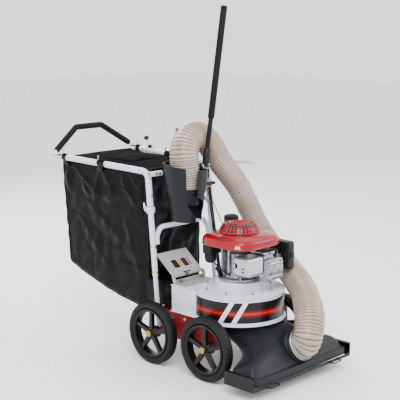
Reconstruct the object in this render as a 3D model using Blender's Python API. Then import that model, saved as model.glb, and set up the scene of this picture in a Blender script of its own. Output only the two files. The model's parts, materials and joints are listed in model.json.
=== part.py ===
"""Walk-behind leaf vacuum mulcher with bag and hand hose.  Metres, +Z up, nozzle towards -Y, handle
towards +Y; the operator's right is -X.  Every sub-part is one closed solid in its own object."""

from math import atan2, cos, pi, radians, sin

import bmesh
import bpy
from mathutils import Matrix, Vector

for old in list(bpy.data.objects):
    bpy.data.objects.remove(old, do_unlink=True)

# ---- driving dimensions -------------------------------------------------------------------------
GAP = 0.0004                # left between pieces that touch
ORIGIN_Y = -0.1152          # moves the design's mid-wheelbase zero to the middle of the whole machine

WHEEL_R = 0.178             # 14 inch wheel
RIM_R = 0.138
WHEEL_X = 0.323             # middle of each tyre
FRONT_Y = -0.318
REAR_Y = 0.098
AXLE_R = 0.010

CHASSIS_X = 0.2255          # outer face of the side plates
CHASSIS_Y = (-0.345, 0.165)
CHASSIS_TOP = 0.2925
PLATE = 0.005

FAN_Y = -0.26               # engine and impeller axis
HOUSING_R = 0.25
HOUSING_Z = (0.2930, 0.4460)
SHEET = 0.0035              # steel of the housing
CHUTE_X = (-0.22, 0.02)
CHUTE_END = 0.05
EYE_R = 0.135

PEDESTAL_TOP = 0.498
RIM_Z = 0.697               # lower rim of the fan shroud
SHROUD_TOP = 0.764
COVER_TOP = 0.816

HOOD_X = 0.385
FRAME_X = 0.408
FRAME_Y = (-0.729, -0.525)
FRAME_Z = (0.060, 0.126)

UPRIGHT_X = 0.24
LEG_TOP = 1.067
RAIL_END = Vector((0.301, 0.909, 1.093))
LEG_R = 0.018
COLLAR_Z = 0.855
HANDLE_CORNER = Vector((0.326, 0.966, 1.100))
HANDLE_BEND = Vector((0.101, 1.017, 1.247))

HINGE = Vector((0.0, 0.052, 0.484))
DOOR_X = (-0.20, 0.023)
DOOR_LENGTH = 0.168
DOOR_TILT = radians(38)

NOZZLE = Vector((-0.113, 0.047, 1.106))
POLE_FOOT = Vector((-0.020, -0.018, 1.108))     # pivot of the long pole
POLE_HEAD = Vector((0.128, -0.019, 1.983))

HOSE_R = 0.078
HOSE_WALL = 0.004
PORT = Vector((0.020, -0.676, 0.204))
PORT_AXIS = Vector((0.0, -0.894, 0.448)).normalized()


def upright_y(z):
    """The uprights lean back by about five degrees."""
    return 0.147 + 0.0938 * (z - 0.321)


# ---- materials ----------------------------------------------------------------------------------
def material(name, colour, roughness, metallic=0.0):
    made = bpy.data.materials.new(name)
    made.use_nodes = True
    shader = made.node_tree.nodes["Principled BSDF"]
    shader.inputs["Base Color"].default_value = (*colour, 1.0)
    shader.inputs["Roughness"].default_value = roughness
    shader.inputs["Metallic"].default_value = metallic
    made.diffuse_color = (*colour, 1.0)
    return made


FINISH = {
    "white_steel": ((0.68, 0.70, 0.76), 0.35, 0.0),
    "red_steel": ((0.40, 0.01, 0.02), 0.35, 0.0),
    "red_plastic": ((0.43, 0.01, 0.03), 0.25, 0.0),
    "black_plastic": ((0.015, 0.016, 0.019), 0.5, 0.0),
    "black_steel": ((0.012, 0.012, 0.013), 0.45, 0.0),
    "rubber": ((0.013, 0.013, 0.015), 0.8, 0.0),
    "foam": ((0.011, 0.011, 0.012), 0.9, 0.0),
    "aluminium": ((0.55, 0.56, 0.57), 0.4, 1.0),
    "grey_steel": ((0.40, 0.41, 0.42), 0.45, 0.0),
    "zinc": ((0.46, 0.33, 0.09), 0.35, 1.0),
    "spring_steel": ((0.35, 0.35, 0.35), 0.3, 1.0),
    "hose_pvc": ((0.58, 0.50, 0.44), 0.3, 0.0),
    "bag_fabric": ((0.011, 0.011, 0.013), 0.6, 0.0),
    "rope": ((0.03, 0.03, 0.03), 0.8, 0.0),
}

MACHINE = bpy.data.objects.new("machine", None)
MACHINE.location = (0.0, ORIGIN_Y, 0.0)
bpy.context.scene.collection.objects.link(MACHINE)


# ---- mesh tools ---------------------------------------------------------------------------------
def solid(name, points, faces, finish="", at=(0, 0, 0), smooth=True):
    """A mesh object from points in machine coordinates, with its origin at `at`."""
    origin = Vector(at)
    mesh = bpy.data.meshes.new(name)
    mesh.from_pydata([Vector(p) - origin for p in points], [], faces)
    work = bmesh.new()
    work.from_mesh(mesh)
    bmesh.ops.recalc_face_normals(work, faces=work.faces)
    if work.calc_volume(signed=True) < 0:
        bmesh.ops.reverse_faces(work, faces=work.faces)
    work.to_mesh(mesh)
    work.free()
    thing = bpy.data.objects.new(name, mesh)
    thing.location = origin
    bpy.context.scene.collection.objects.link(thing)
    thing.parent = MACHINE
    if finish:
        if finish + "_" + name not in bpy.data.materials:
            mesh.materials.append(material(finish + "_" + name, *FINISH[finish]))
    if smooth:
        mesh.polygons.foreach_set("use_smooth", [True] * len(mesh.polygons))
        mesh.set_sharp_from_angle(angle=radians(35))
    return thing


def combine(target, other, operation):
    """Boolean `other` into `target`, and remove `other`."""
    cut = target.modifiers.new("cut", "BOOLEAN")
    cut.operation = operation
    cut.solver = "EXACT"
    cut.object = other
    bpy.context.view_layer.update()
    graph = bpy.context.evaluated_depsgraph_get()
    result = bpy.data.meshes.new_from_object(target.evaluated_get(graph))
    target.modifiers.clear()
    target.data = result
    bpy.data.objects.remove(other, do_unlink=True)
    return target


def fuse(target, *others):
    for other in others:
        combine(target, other, "UNION")
    return target


def carve(target, *others):
    for other in others:
        combine(target, other, "DIFFERENCE")
    return target


def bevelled(thing, width, segments=2):
    edge = thing.modifiers.new("edge", "BEVEL")
    edge.width = width
    edge.segments = segments
    edge.limit_method = "ANGLE"
    return thing


def box(name, low, high, finish="", at=(0, 0, 0)):
    xs, ys, zs = zip(low, high)
    points = [(x, y, z) for x in xs for y in ys for z in zs]
    faces = [(0, 1, 3, 2), (4, 6, 7, 5), (0, 4, 5, 1), (2, 3, 7, 6), (0, 2, 6, 4), (1, 5, 7, 3)]
    return solid(name, points, faces, finish, at, smooth=False)


def loft(name, rings, finish="", closed=False, at=(0, 0, 0)):
    """Skin over rings of equal length; ends are capped, or the last ring joins the first."""
    count = len(rings[0])
    points = [p for ring in rings for p in ring]
    spans = len(rings) if closed else len(rings) - 1
    faces = []
    for i in range(spans):
        a, b = i * count, (i + 1) % len(rings) * count
        for j in range(count):
            k = (j + 1) % count
            faces.append((a + j, a + k, b + k, b + j))
    if not closed:
        faces.append(tuple(range(count)))
        faces.append(tuple(range((len(rings) - 1) * count, len(rings) * count)))
    return solid(name, points, faces, finish, at)


def frame_of(direction):
    """Two unit vectors square to a direction."""
    direction = direction.normalized()
    guide = Vector((1, 0, 0)) if abs(direction.x) < 0.9 else Vector((0, 0, 1))
    side = direction.cross(guide).normalized()
    return side, direction.cross(side).normalized()


def circle(centre, direction, radius, sides, start=0.0):
    side, up = frame_of(direction)
    turns = [start + 2 * pi * i / sides for i in range(sides)]
    return [centre + radius * (cos(t) * side + sin(t) * up) for t in turns]


def turned(name, profile, foot, axis, finish="", sides=24, closed=False, at=(0, 0, 0)):
    """Revolve (radius, height) pairs about an axis; a closed profile makes a ring."""
    direction = Vector(axis).normalized()
    centre = Vector(foot)
    rings = [circle(centre + h * direction, direction, r, sides) for r, h in profile]
    return loft(name, rings, finish, closed, at)


def pipe_rings(path, radius, sides):
    """Rings across a path, carried without twist; radius is a number or one for each point."""
    sizes = radius if isinstance(radius, list) else [radius] * len(path)
    tangents = []
    for i, point in enumerate(path):
        before = path[max(i - 1, 0)]
        after = path[min(i + 1, len(path) - 1)]
        forward = (after - point).normalized() if after != point else Vector()
        back = (point - before).normalized() if before != point else Vector()
        tangents.append((forward + back).normalized())
    side, _ = frame_of(tangents[0])
    rings = []
    for point, tangent, size in zip(path, tangents, sizes):
        side = (side - side.dot(tangent) * tangent).normalized()
        up = tangent.cross(side)
        rings.append([
            point + size * (cos(2 * pi * j / sides) * side + sin(2 * pi * j / sides) * up)
            for j in range(sides)
        ])
    return rings


def rod(name, path, radius, finish="", sides=8, at=(0, 0, 0)):
    return loft(name, pipe_rings(path, radius, sides), finish, at=at)


def pipe(name, path, radius, wall, finish="", sides=10, at=(0, 0, 0)):
    """An open-ended tube: the outer skin out and the inner skin back."""
    inner = [r - wall for r in radius] if isinstance(radius, list) else radius - wall
    outside = pipe_rings(path, radius, sides)
    inside = pipe_rings(path, inner, sides)
    return loft(name, outside + inside[::-1], finish, closed=True, at=at)


def rounded(points, bend, steps=4):
    """A polyline with each inner corner replaced by an arc of the given radius."""
    path = [points[0]]
    for before, corner, after in zip(points, points[1:], points[2:]):
        one = (before - corner).normalized()
        two = (after - corner).normalized()
        half = one.angle(two) / 2
        reach = bend / max(0.05, abs(sin(half) / cos(half)))
        centre = corner + (one + two).normalized() * bend / sin(half)
        start = corner + one * reach - centre
        end = corner + two * reach - centre
        for k in range(steps + 1):
            path.append(centre + bend * start.slerp(end, k / steps))
    path.append(points[-1])
    return path


def spline(points, steps):
    """Catmull-Rom curve through the points."""
    ends = [2 * points[0] - points[1]] + list(points) + [2 * points[-1] - points[-2]]
    path = []
    for a, b, c, d in zip(ends, ends[1:], ends[2:], ends[3:]):
        for k in range(steps):
            t = k / steps
            path.append(0.5 * (2 * b + (c - a) * t + (2 * a - 5 * b + 4 * c - d) * t * t
                               + (3 * b - a - 3 * c + d) * t ** 3))
    return path + [points[-1]]


def mirrored(points):
    return [Vector((-p.x, p.y, p.z)) for p in points]


def rounded_outline(half_x, half_y, corner, steps=5):
    """Corner points of a rounded rectangle, anticlockwise, centred on zero."""
    outline = []
    for sx, sy, start in ((1, 1, 0), (-1, 1, 90), (-1, -1, 180), (1, -1, 270)):
        for k in range(steps + 1):
            turn = radians(start + 90 * k / steps)
            outline.append((
                sx * (half_x - corner) + corner * cos(turn),
                sy * (half_y - corner) + corner * sin(turn),
            ))
    return outline


# ---- running gear -------------------------------------------------------------------------------
TYRE_PROFILE = (
    (0.138, -0.024), (0.150, -0.028), (0.165, -0.027), (0.1755, -0.018), (0.178, 0.0),
    (0.1755, 0.018), (0.165, 0.027), (0.150, 0.028), (0.138, 0.024),
)
SPOKES = 5


def wheel(tag, side, y):
    hub = Vector((side * WHEEL_X, y, WHEEL_R))
    axis = (1, 0, 0)
    turned("tyre_" + tag, TYRE_PROFILE, hub, axis, "rubber", 36, closed=True, at=hub)
    felly_r = RIM_R - GAP
    felly = ((felly_r, -0.024), (felly_r, 0.024), (0.122, 0.024), (0.119, 0.0), (0.122, -0.024))
    rim = turned("rim_" + tag, felly, hub, axis, "black_plastic", 36, closed=True, at=hub)
    inner_end, outer_end = -side * 0.034, side * 0.020
    barrel = ((0.034, inner_end), (0.034, 0.0), (0.023, outer_end), (0.011, outer_end))
    barrel += ((0.011, inner_end),)
    fuse(rim, turned("hub", barrel, hub, axis, "", 20, closed=True, at=hub))
    for k in range(SPOKES):
        angle = 2 * pi * (k + 0.25) / SPOKES
        out = Vector((0, cos(angle), sin(angle)))
        across = Vector((0, -sin(angle), cos(angle)))
        low, high = side * 0.0185, -side * 0.004
        rings = []
        for radius, width in ((0.020, 0.013), (0.1215, 0.010)):
            rings.append([
                hub + Vector((x, 0, 0)) + radius * out + w * across
                for x, w in ((low, width), (low, -width), (high, -width), (high, width))
            ])
        fuse(rim, loft("spoke", rings, at=hub))
    return hub


def axle(tag, inner, outer, y):
    """A shaft with a hexagon head outside the wheel hub."""
    way = 1 if outer > inner else -1
    neck = outer - way * 0.012
    foot = Vector((0, y, WHEEL_R))
    shaft = turned("axle_" + tag, ((AXLE_R, inner), (AXLE_R, neck)), foot, (1, 0, 0), "zinc", 12)
    head = turned("head", ((0.016, neck - way * 0.001), (0.016, outer)), foot, (1, 0, 0), sides=6)
    return fuse(shaft, head)


def running_gear():
    for tag, side in (("right", -1), ("left", 1)):
        wheel("front_" + tag, side, FRONT_Y)
        wheel("rear_" + tag, side, REAR_Y)
        axle("front_" + tag, side * (CHASSIS_X + GAP), side * 0.357, FRONT_Y)
    rear = axle("rear", 0.0, 0.357, REAR_Y)
    foot = Vector((0, REAR_Y, WHEEL_R))
    other = turned("half", ((AXLE_R, 0.001), (AXLE_R, -0.345)), foot, (1, 0, 0), sides=12)
    head = turned("head", ((0.016, -0.344), (0.016, -0.357)), foot, (1, 0, 0), sides=6)
    fuse(rear, other, head)


def chassis():
    """A folded plate channel: deck with the inlet hole, and two side plates."""
    inner = CHASSIS_X - PLATE
    top = CHASSIS_TOP - GAP
    deck = box("chassis_frame", (-CHASSIS_X, CHASSIS_Y[0], top - PLATE),
               (CHASSIS_X, CHASSIS_Y[1], top), "red_steel")
    for side in (-1, 1):
        lows = [(CHASSIS_Y[0], top - 0.001), (CHASSIS_Y[1], top - 0.001), (CHASSIS_Y[1], 0.235)]
        lows += [(0.135, 0.140), (-0.30, 0.140), (CHASSIS_Y[0], 0.20)]
        plate = [[Vector((side * x, y, z)) for y, z in lows] for x in (inner, CHASSIS_X)]
        fuse(deck, loft("plate", plate))
    fuse(deck, box("tie", (-inner - 0.001, 0.120, 0.215), (inner + 0.001, 0.124, top - 0.001)))
    hole = turned("hole", ((EYE_R + 0.045, 0.0), (EYE_R + 0.045, 0.05)),
                  (0, FAN_Y, top - 0.03), (0, 0, 1), sides=32)
    bore = turned("bore", ((AXLE_R + 0.0006, -0.5), (AXLE_R + 0.0006, 0.5)),
                  (0, REAR_Y, WHEEL_R), (1, 0, 0), sides=12)
    carve(deck, hole, bore)


# ---- impeller housing ---------------------------------------------------------------------------
def housing_outline(grow):
    """Drum outline with a straight chute tangent to its right side, grown outwards."""
    radius = HOUSING_R + grow
    left, right = CHUTE_X[0] - grow, CHUTE_X[1] + grow
    start = atan2((radius ** 2 - right ** 2) ** 0.5, right)
    finish = atan2((radius ** 2 - left ** 2) ** 0.5, left) - 2 * pi
    steps = 36
    end = CHUTE_END + 0.3 * grow
    outline = [(left, end), (right, end)]
    for k in range(steps + 1):
        turn = start + (finish - start) * k / steps
        outline.append((radius * cos(turn), FAN_Y + radius * sin(turn)))
    return outline


def prism(name, outline, levels, finish=""):
    """Rings of one outline, or of one outline for each level."""
    rings = [[Vector((x, y, z)) for x, y in shape] for shape, z in zip(outline, levels)]
    return loft(name, rings, finish)


def impeller_housing():
    low, high = HOUSING_Z
    wall, flange, lip = housing_outline(0), housing_outline(0.011), housing_outline(0.006)
    body = prism("impeller_housing", (flange, flange, wall, wall, lip, lip),
                 (low, low + SHEET, low + SHEET, high - SHEET, high - SHEET, high), "white_steel")
    cavity = [(x, y + (0.2 if y > CHUTE_END - 0.01 else 0)) for x, y in housing_outline(-SHEET)]
    hollow = prism("hollow", (cavity, cavity), (low + SHEET, high - SHEET))
    eye = turned("eye", ((EYE_R, 0), (EYE_R, 0.03)), (0, FAN_Y, low - 0.01), (0, 0, 1), sides=32)
    shaft = turned("shaft", ((0.10, 0), (0.10, 0.03)), (0, FAN_Y, high - 0.02), (0, 0, 1), sides=24)
    carve(body, hollow, eye, shaft)


def pedestal():
    """Engine seat: a flanged drum bolted to the housing deck."""
    base = HOUSING_Z[1] + GAP
    profile = ((0.015, PEDESTAL_TOP - 0.006), (0.015, PEDESTAL_TOP), (0.134, PEDESTAL_TOP),
               (0.134, base + 0.005), (0.204, base + 0.005), (0.204, base), (0.128, base),
               (0.128, PEDESTAL_TOP - 0.006))
    turned("engine_pedestal", profile, (0, FAN_Y, 0), (0, 0, 1), "white_steel", 36, closed=True)


def rotor():
    axis_point = Vector((0, FAN_Y, 0.40))
    shaft = turned("crankshaft", ((0.0125, 0.320), (0.0125, 0.745)), (0, FAN_Y, 0), (0, 0, 1),
                   "spring_steel", 16, at=axis_point)
    fuse(shaft, turned("bolt", ((0.019, 0.312), (0.019, 0.3205)), (0, FAN_Y, 0), (0, 0, 1), sides=6))
    profile = ((0.0129, 0.322), (0.030, 0.322), (0.034, 0.415), (0.195, 0.415), (0.195, 0.421),
               (0.0129, 0.421))
    disc = turned("impeller", profile, (0, FAN_Y, 0), (0, 0, 1), "black_steel", 32, closed=True,
                  at=axis_point)
    for k in range(6):
        blade = box("blade", (0.028, -0.003, 0.325), (0.190, 0.003, 0.4155))
        blade.data.transform(Matrix.Translation((0, FAN_Y, 0)) @ Matrix.Rotation(pi * k / 3, 4, "Z"))
        fuse(disc, blade)
    fan = ((0.0120, 0.701), (0.088, 0.701), (0.092, 0.738), (0.060, 0.738), (0.055, 0.712),
           (0.030, 0.712), (0.030, 0.735), (0.0120, 0.735))
    fuse(shaft, turned("flywheel", fan, (0, FAN_Y, 0), (0, 0, 1), sides=28, closed=True))


# ---- intake nozzle ------------------------------------------------------------------------------
HOOD_SECTIONS = (
    # front (y, z), rear (y, z), half width, corner power
    ((-0.7225, 0.078), (-0.532, 0.070), 0.385, 14.0),
    ((-0.7225, 0.112), (-0.532, 0.106), 0.385, 14.0),
    ((-0.708, 0.122), (-0.530, 0.112), 0.376, 10.0),
    ((-0.678, 0.176), (-0.507, 0.117), 0.352, 6.0),
    ((-0.622, 0.236), (-0.445, 0.134), 0.236, 3.2),
    ((-0.545, 0.274), (-0.366, 0.154), 0.192, 2.5),
    ((-0.470, 0.285), (-0.280, 0.186), 0.180, 2.2),
    ((-0.422, 0.288), (-0.180, 0.236), 0.165, 2.1),
    ((-0.393, HOUSING_Z[0] - GAP), (-0.127, HOUSING_Z[0] - GAP), 0.133, 2.0),
)


def hood_ring(section, inset, sides=32):
    """A superellipse standing on its front and rear points."""
    (fy, fz), (ry, rz), width, power = section
    front, rear = Vector((0, fy, fz)), Vector((0, ry, rz))
    middle, reach = (front + rear) / 2, (rear - front) / 2
    depth = reach.length - inset
    reach = reach.normalized()
    ring = []
    for j in range(sides):
        c, s = cos(2 * pi * (j + 0.5) / sides), sin(2 * pi * (j + 0.5) / sides)
        x = abs(c) ** (2 / power) * (1 if c > 0 else -1)
        d = abs(s) ** (2 / power) * (1 if s > 0 else -1)
        ring.append(middle + Vector(((width - inset) * x, 0, 0)) + depth * d * reach)
    return ring


SKIRT_SECTIONS = 4              # how many of them make the skirt


def hood_shell(name, sections, lift=0.0):
    outside = [hood_ring(section, 0.0) for section in sections]
    inside = [hood_ring(section, 0.004) for section in sections]
    for skin in (outside, inside):
        skin[0] = [point + Vector((0, 0, lift)) for point in skin[0]]
    return loft(name, outside + inside[::-1], "black_plastic", closed=True)


def nozzle_hood():
    """One hollow moulding with its hose port; a hairline gap parts its skirt from its neck, so that
    each is plain enough for close collision."""
    skirt = hood_shell("nozzle_skirt", HOOD_SECTIONS[:SKIRT_SECTIONS])
    room = turned("room", ((0.0925, -0.062), (0.0875, 0.030)), PORT, PORT_AXIS, sides=20)
    carve(skirt, room)
    hood = hood_shell("nozzle_hood", HOOD_SECTIONS[SKIRT_SECTIONS - 1:], GAP)
    stub = turned("stub", ((0.068, -0.060), (0.068, 0.030)), PORT, PORT_AXIS, sides=20)
    shoulder = turned("shoulder", ((0.092, -0.060), (0.087, -GAP)), PORT, PORT_AXIS, sides=20)
    fuse(hood, stub, shoulder)
    bore = turned("bore", ((0.063, -0.095), (0.063, 0.060)), PORT, PORT_AXIS, sides=20)
    carve(hood, bore)


def nozzle_frame():
    """Steel guard: low front and rear bars, end plates with flanges, and two skid loops."""
    front, rear = FRAME_Y
    low, x = FRAME_Z[0], FRAME_X
    frame = box("nozzle_frame", (-x, front, low), (x, front + 0.004, low + 0.017), "black_steel")
    fuse(frame, box("rear", (-x, rear - 0.004, low), (x, rear, 0.105)))
    for side in (-1, 1):
        high = FRAME_Z[1] + (0.012 if side > 0 else 0.006)
        ends = sorted((side * x, side * (x - 0.004)))
        flange = sorted((side * x, side * (HOOD_X + 0.0005)))
        fuse(frame, box("end", (ends[0], front, low), (ends[1], rear, high)))
        fuse(frame, box("flange", (flange[0], front, high - 0.004), (flange[1], rear, high)))
        loop = [Vector((side * 0.262 + a, front + b, low + 0.005)) for a, b in
                ((-0.043, 0.002), (-0.034, -0.022), (0.034, -0.022), (0.043, 0.002))]
        fuse(frame, rod("loop", rounded(loop, 0.012, 3), 0.0042, sides=6))


# ---- engine -------------------------------------------------------------------------------------
def crankcase():
    foot = (0, FAN_Y, 0)
    profile = ((0.013, PEDESTAL_TOP + GAP), (0.112, PEDESTAL_TOP + GAP), (0.112, 0.511),
               (0.092, 0.520), (0.080, 0.540), (0.078, 0.650), (0.050, 0.690), (0.013, 0.690))
    case = turned("crankcase", profile, foot, (0, 0, 1), "aluminium", 28, closed=True)
    body = bevelled(box("body", (-0.070, -0.300, 0.5150), (0.085, -0.183, 0.625)), 0.01)
    fuse(case, body)
    bore = turned("bore", ((0.0131, 0.45), (0.0131, 0.72)), foot, (0, 0, 1), sides=28)
    carve(case, bore)


def cylinder_block():
    """Air-cooled barrel and head, with its cooling fins and the carburettor bolted to its side."""
    block = box("cylinder_block", (-0.004, -0.440, 0.543), (0.112, -0.3405, 0.655), "aluminium")
    for k in range(6):
        y = -0.431 + 0.0155 * k
        carve(block, box("slot", (-0.02, y, 0.50), (0.012, y + 0.0075, 0.67)))
        carve(block, box("slot", (0.096, y, 0.50), (0.13, y + 0.0075, 0.67)))
    bowl = turned("bowl", ((0.020, 0.550), (0.022, 0.580)), (0.145, -0.380, 0), (0, 0, 1), sides=14)
    fuse(block, box("carburettor", (0.090, -0.410, 0.578), (0.181, -0.350, 0.632)), bowl)
    bevelled(box("head_cover", (-0.020, -0.468, 0.512), (0.125, -0.4405, 0.632), "aluminium"),
             0.008)


def muffler():
    shield = box("muffler_shield", (-0.150, -0.463, 0.556), (-0.022, -0.341, 0.660), "aluminium")
    outlet = turned("outlet", ((0.0155, 0), (0.0155, 0.03)), (-0.16, -0.366, 0.612), (1, 0, 0),
                    sides=16)
    bevelled(shield, 0.012)
    bpy.context.view_layer.update()
    carve(shield, outlet)


def air_cleaner():
    bevelled(box("air_cleaner", (0.1815, -0.462, 0.545), (0.236, -0.318, 0.702), "black_plastic"),
             0.012)


CAP = Vector((0.081, -0.124, 0.782))


def fuel_system():
    tank = bevelled(box("fuel_tank", (-0.135, -0.172, 0.632), (0.125, -0.100, 0.692),
                        "black_plastic"), 0.014)
    neck = turned("neck", ((0.020, 0.680), (0.020, 0.775)), (CAP.x, CAP.y, 0), (0, 0, 1), sides=16)
    fuse(tank, neck)
    profile = ((0.030, 0.044), (0.039, 0.038), (0.042, 0.030), (0.042, 0.004), (0.038, 0.0))
    turned("fuel_cap", profile, CAP, (0, 0, 1), "black_plastic", 20, at=CAP)


def shroud_ring(scale, z, inset):
    ring = []
    for x, y in rounded_outline(0.180, 0.184, 0.085, 7):
        spot = Vector((x, y, 0)) * scale
        spot -= spot.normalized() * inset
        ring.append(spot + Vector((0.004, FAN_Y - 0.004, z)))
    return ring


def top_ring(radius, z, count):
    """A round ring whose points face those of the shroud's outline."""
    ring = []
    for x, y in rounded_outline(0.180, 0.184, 0.085, 7)[:count]:
        turn = atan2(y, x)
        ring.append(Vector((radius * cos(turn), FAN_Y + radius * sin(turn), z)))
    return ring


def shroud():
    """Fan shroud: a shallow pan with rounded shoulders and a round hole for the starter."""
    levels = ((1.0, RIM_Z), (1.0, RIM_Z + 0.014), (0.985, 0.724), (0.94, 0.742), (0.86, 0.755))
    outside = [shroud_ring(scale, z, 0) for scale, z in levels]
    inside = [shroud_ring(scale, z - (0.0 if i == 0 else 0.003), 0.003)
              for i, (scale, z) in enumerate(levels)]
    count = len(outside[0])
    outside.append(top_ring(0.107, SHROUD_TOP, count))
    inside.append(top_ring(0.107, SHROUD_TOP - 0.003, count))
    pan = loft("fan_shroud", outside + inside[::-1], "red_plastic", closed=True)
    neck = turned("neck", ((0.0215, 0.70), (0.0215, 0.80)), (CAP.x, CAP.y, 0), (0, 0, 1), sides=16)
    carve(pan, neck)
    foot = SHROUD_TOP + GAP
    profile = ((0.114, foot), (0.112, foot + 0.008), (0.100, foot + 0.034), (0.086, COVER_TOP - 0.004),
               (0.060, COVER_TOP), (0.012, COVER_TOP), (0.012, COVER_TOP - 0.003),
               (0.059, COVER_TOP - 0.003), (0.084, COVER_TOP - 0.007), (0.097, foot + 0.033),
               (0.109, foot + 0.007), (0.111, foot))
    turned("recoil_cover", profile, (0, FAN_Y, 0), (0, 0, 1), "red_plastic", 32, closed=True)


def starter():
    exit_point = Vector((-0.088, -0.150, 0.806))
    guide = Vector((0.196, 0.158, 0.893))
    rope = [exit_point, (exit_point + guide) / 2 - Vector((0, 0, 0.002)), guide,
            Vector((0.190, 0.150, 0.955))]
    cord = rod("starter_rope", rope, 0.0022, "rope", 6)
    grip = [Vector((x, 0.150, 0.959)) for x in (0.145, 0.150, 0.230, 0.235)]
    fuse(cord, rod("grip", grip, [0.006, 0.0105, 0.0105, 0.006], sides=10))


# ---- discharge door -----------------------------------------------------------------------------
def discharge_door():
    """Sprung door over the chute end: a plate with a rolled lip, hinged on a pin."""
    along = Vector((0, cos(DOOR_TILT), sin(DOOR_TILT)))
    normal = Vector((0, -sin(DOOR_TILT), cos(DOOR_TILT)))
    low, high = DOOR_X
    sheet = 0.0025

    def slab(name, x0, x1, a0, a1, n0, n1, finish=""):
        rings = [[HINGE + Vector((x, 0, 0)) + a * along + n * normal
                  for a, n in ((a0, n0), (a1, n0), (a1, n1), (a0, n1))] for x in (x0, x1)]
        return loft(name, rings, finish, at=HINGE)

    door = slab("discharge_door", low, high, 0.004, DOOR_LENGTH, 0.0045, 0.0045 + sheet,
                "grey_steel")
    for x0, x1 in ((low, low + sheet), (high - sheet, high)):
        fuse(door, slab("lip", x0, x1, 0.012, DOOR_LENGTH, -0.008, 0.0046))
    roll = HINGE + DOOR_LENGTH * along
    fuse(door, turned("roll", ((0.008, low), (0.008, high)), roll, (1, 0, 0), sides=10, at=HINGE))
    for x0, x1 in ((low, -0.118), (-0.062, high)):
        fuse(door, turned("knuckle", ((0.008, x0), (0.008, x1)), HINGE, (1, 0, 0), sides=12))
    carve(door, turned("bore", ((0.0046, -0.3), (0.0046, 0.3)), HINGE, (1, 0, 0), sides=12))
    carve(door, slab("notch", -0.1178, -0.0622, -0.03, 0.0165, -0.03, 0.03))
    turned("door_hinge_pin", ((0.004, low - 0.012), (0.004, high + 0.012)), HINGE, (1, 0, 0),
           "zinc", 10)

    turns, per_turn, radius = 5, 12, 0.0105
    coil = []
    for k in range(turns * per_turn + 1):
        angle = 2 * pi * k / per_turn
        x = -0.112 + 0.044 * k / (turns * per_turn)
        coil.append(HINGE + Vector((x, radius * cos(angle), radius * sin(angle))))
    rod("door_spring", coil, 0.0016, "spring_steel", 5)


def hinge_bracket():
    """Grey bracket on the chute roof that carries the hinge pin."""
    base = HOUSING_Z[1] + GAP
    low, high = DOOR_X
    bracket = box("hinge_bracket", (low - 0.009, -0.052, base), (high + 0.009, 0.040, base + 0.003),
                  "grey_steel")
    fuse(bracket, box("web", (low - 0.009, 0.031, base), (high + 0.009, 0.034, 0.470)))
    for x in (low - 0.009, high + 0.006):
        ear = [[Vector((px, y, z)) for y, z in
                ((0.031, base + 0.001), (0.046, base + 0.001), (0.060, 0.478), (0.060, 0.492),
                 (0.044, 0.492), (0.031, 0.474))] for px in (x, x + 0.003)]
        fuse(bracket, loft("ear", ear))
    carve(bracket, turned("bore", ((0.0046, -0.3), (0.0046, 0.3)), HINGE, (1, 0, 0), sides=12))


# ---- tubular frame ------------------------------------------------------------------------------
def on_upright(side, z, ahead=0.0):
    return Vector((side * UPRIGHT_X, upright_y(z) - ahead, z))


def uprights():
    for tag, side in (("right", -1), ("left", 1)):
        low, step, high = on_upright(side, 0.19), on_upright(side, 0.48), on_upright(side, 0.872)
        axis = (high - low).normalized()
        reach = [0.0, (step - low).length, (step - low).length, (high - low).length]
        outer = list(zip((0.0135, 0.0135, 0.016, 0.016), reach))
        profile = outer + [(0.011, reach[-1]), (0.011, 0.0)]
        turned("lower_upright_" + tag, profile, low, axis, "white_steel", 12, closed=True)

        clamp = on_upright(side, COLLAR_Z)
        ring = ((0.0164, -0.019), (0.0235, -0.019), (0.0235, 0.017), (0.0164, 0.017))
        collar = turned("clamp_collar_" + tag, ring, clamp, axis, "white_steel", 16, closed=True)
        ear = clamp + Vector((0, 0.030, 0))
        block = box("ear", ear - Vector((0.010, 0.010, 0.012)), ear + Vector((0.010, 0.010, 0.012)))
        fuse(collar, block)
        pivot = clamp + Vector((0, 0.0475, 0))
        handle = [pivot + Vector(p) for p in ((0, 0, -0.003), (0, 0.002, 0.010), (0, 0.008, 0.032))]
        rod("clamp_lever_" + tag, handle, [0.0060, 0.006, 0.0045], "white_steel", 8, at=pivot)

        corner = on_upright(side, LEG_TOP)
        end = Vector((side * RAIL_END.x, RAIL_END.y, RAIL_END.z))
        path = rounded([on_upright(side, 0.8755), corner, end], 0.045, 5)
        pipe("side_rail_" + tag, path, LEG_R, 0.0025, "white_steel", 12)


def hoops():
    """A bent hoop between the uprights, and a straight bar across their tops."""
    inner = UPRIGHT_X - 0.0309
    half = [Vector((-inner, upright_y(0.655), 0.655)), Vector((-inner, upright_y(0.698), 0.698)),
            Vector((-0.176, upright_y(0.748), 0.748))]
    pipe("mid_hoop", rounded(half + mirrored(half[::-1]), 0.045, 3), 0.0145, 0.002, "white_steel", 12)
    bar = [Vector((x, 0.1855, 1.058)) for x in (-0.262, 0.262)]
    pipe("top_bar", bar, 0.015, 0.002, "white_steel", 14)


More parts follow.
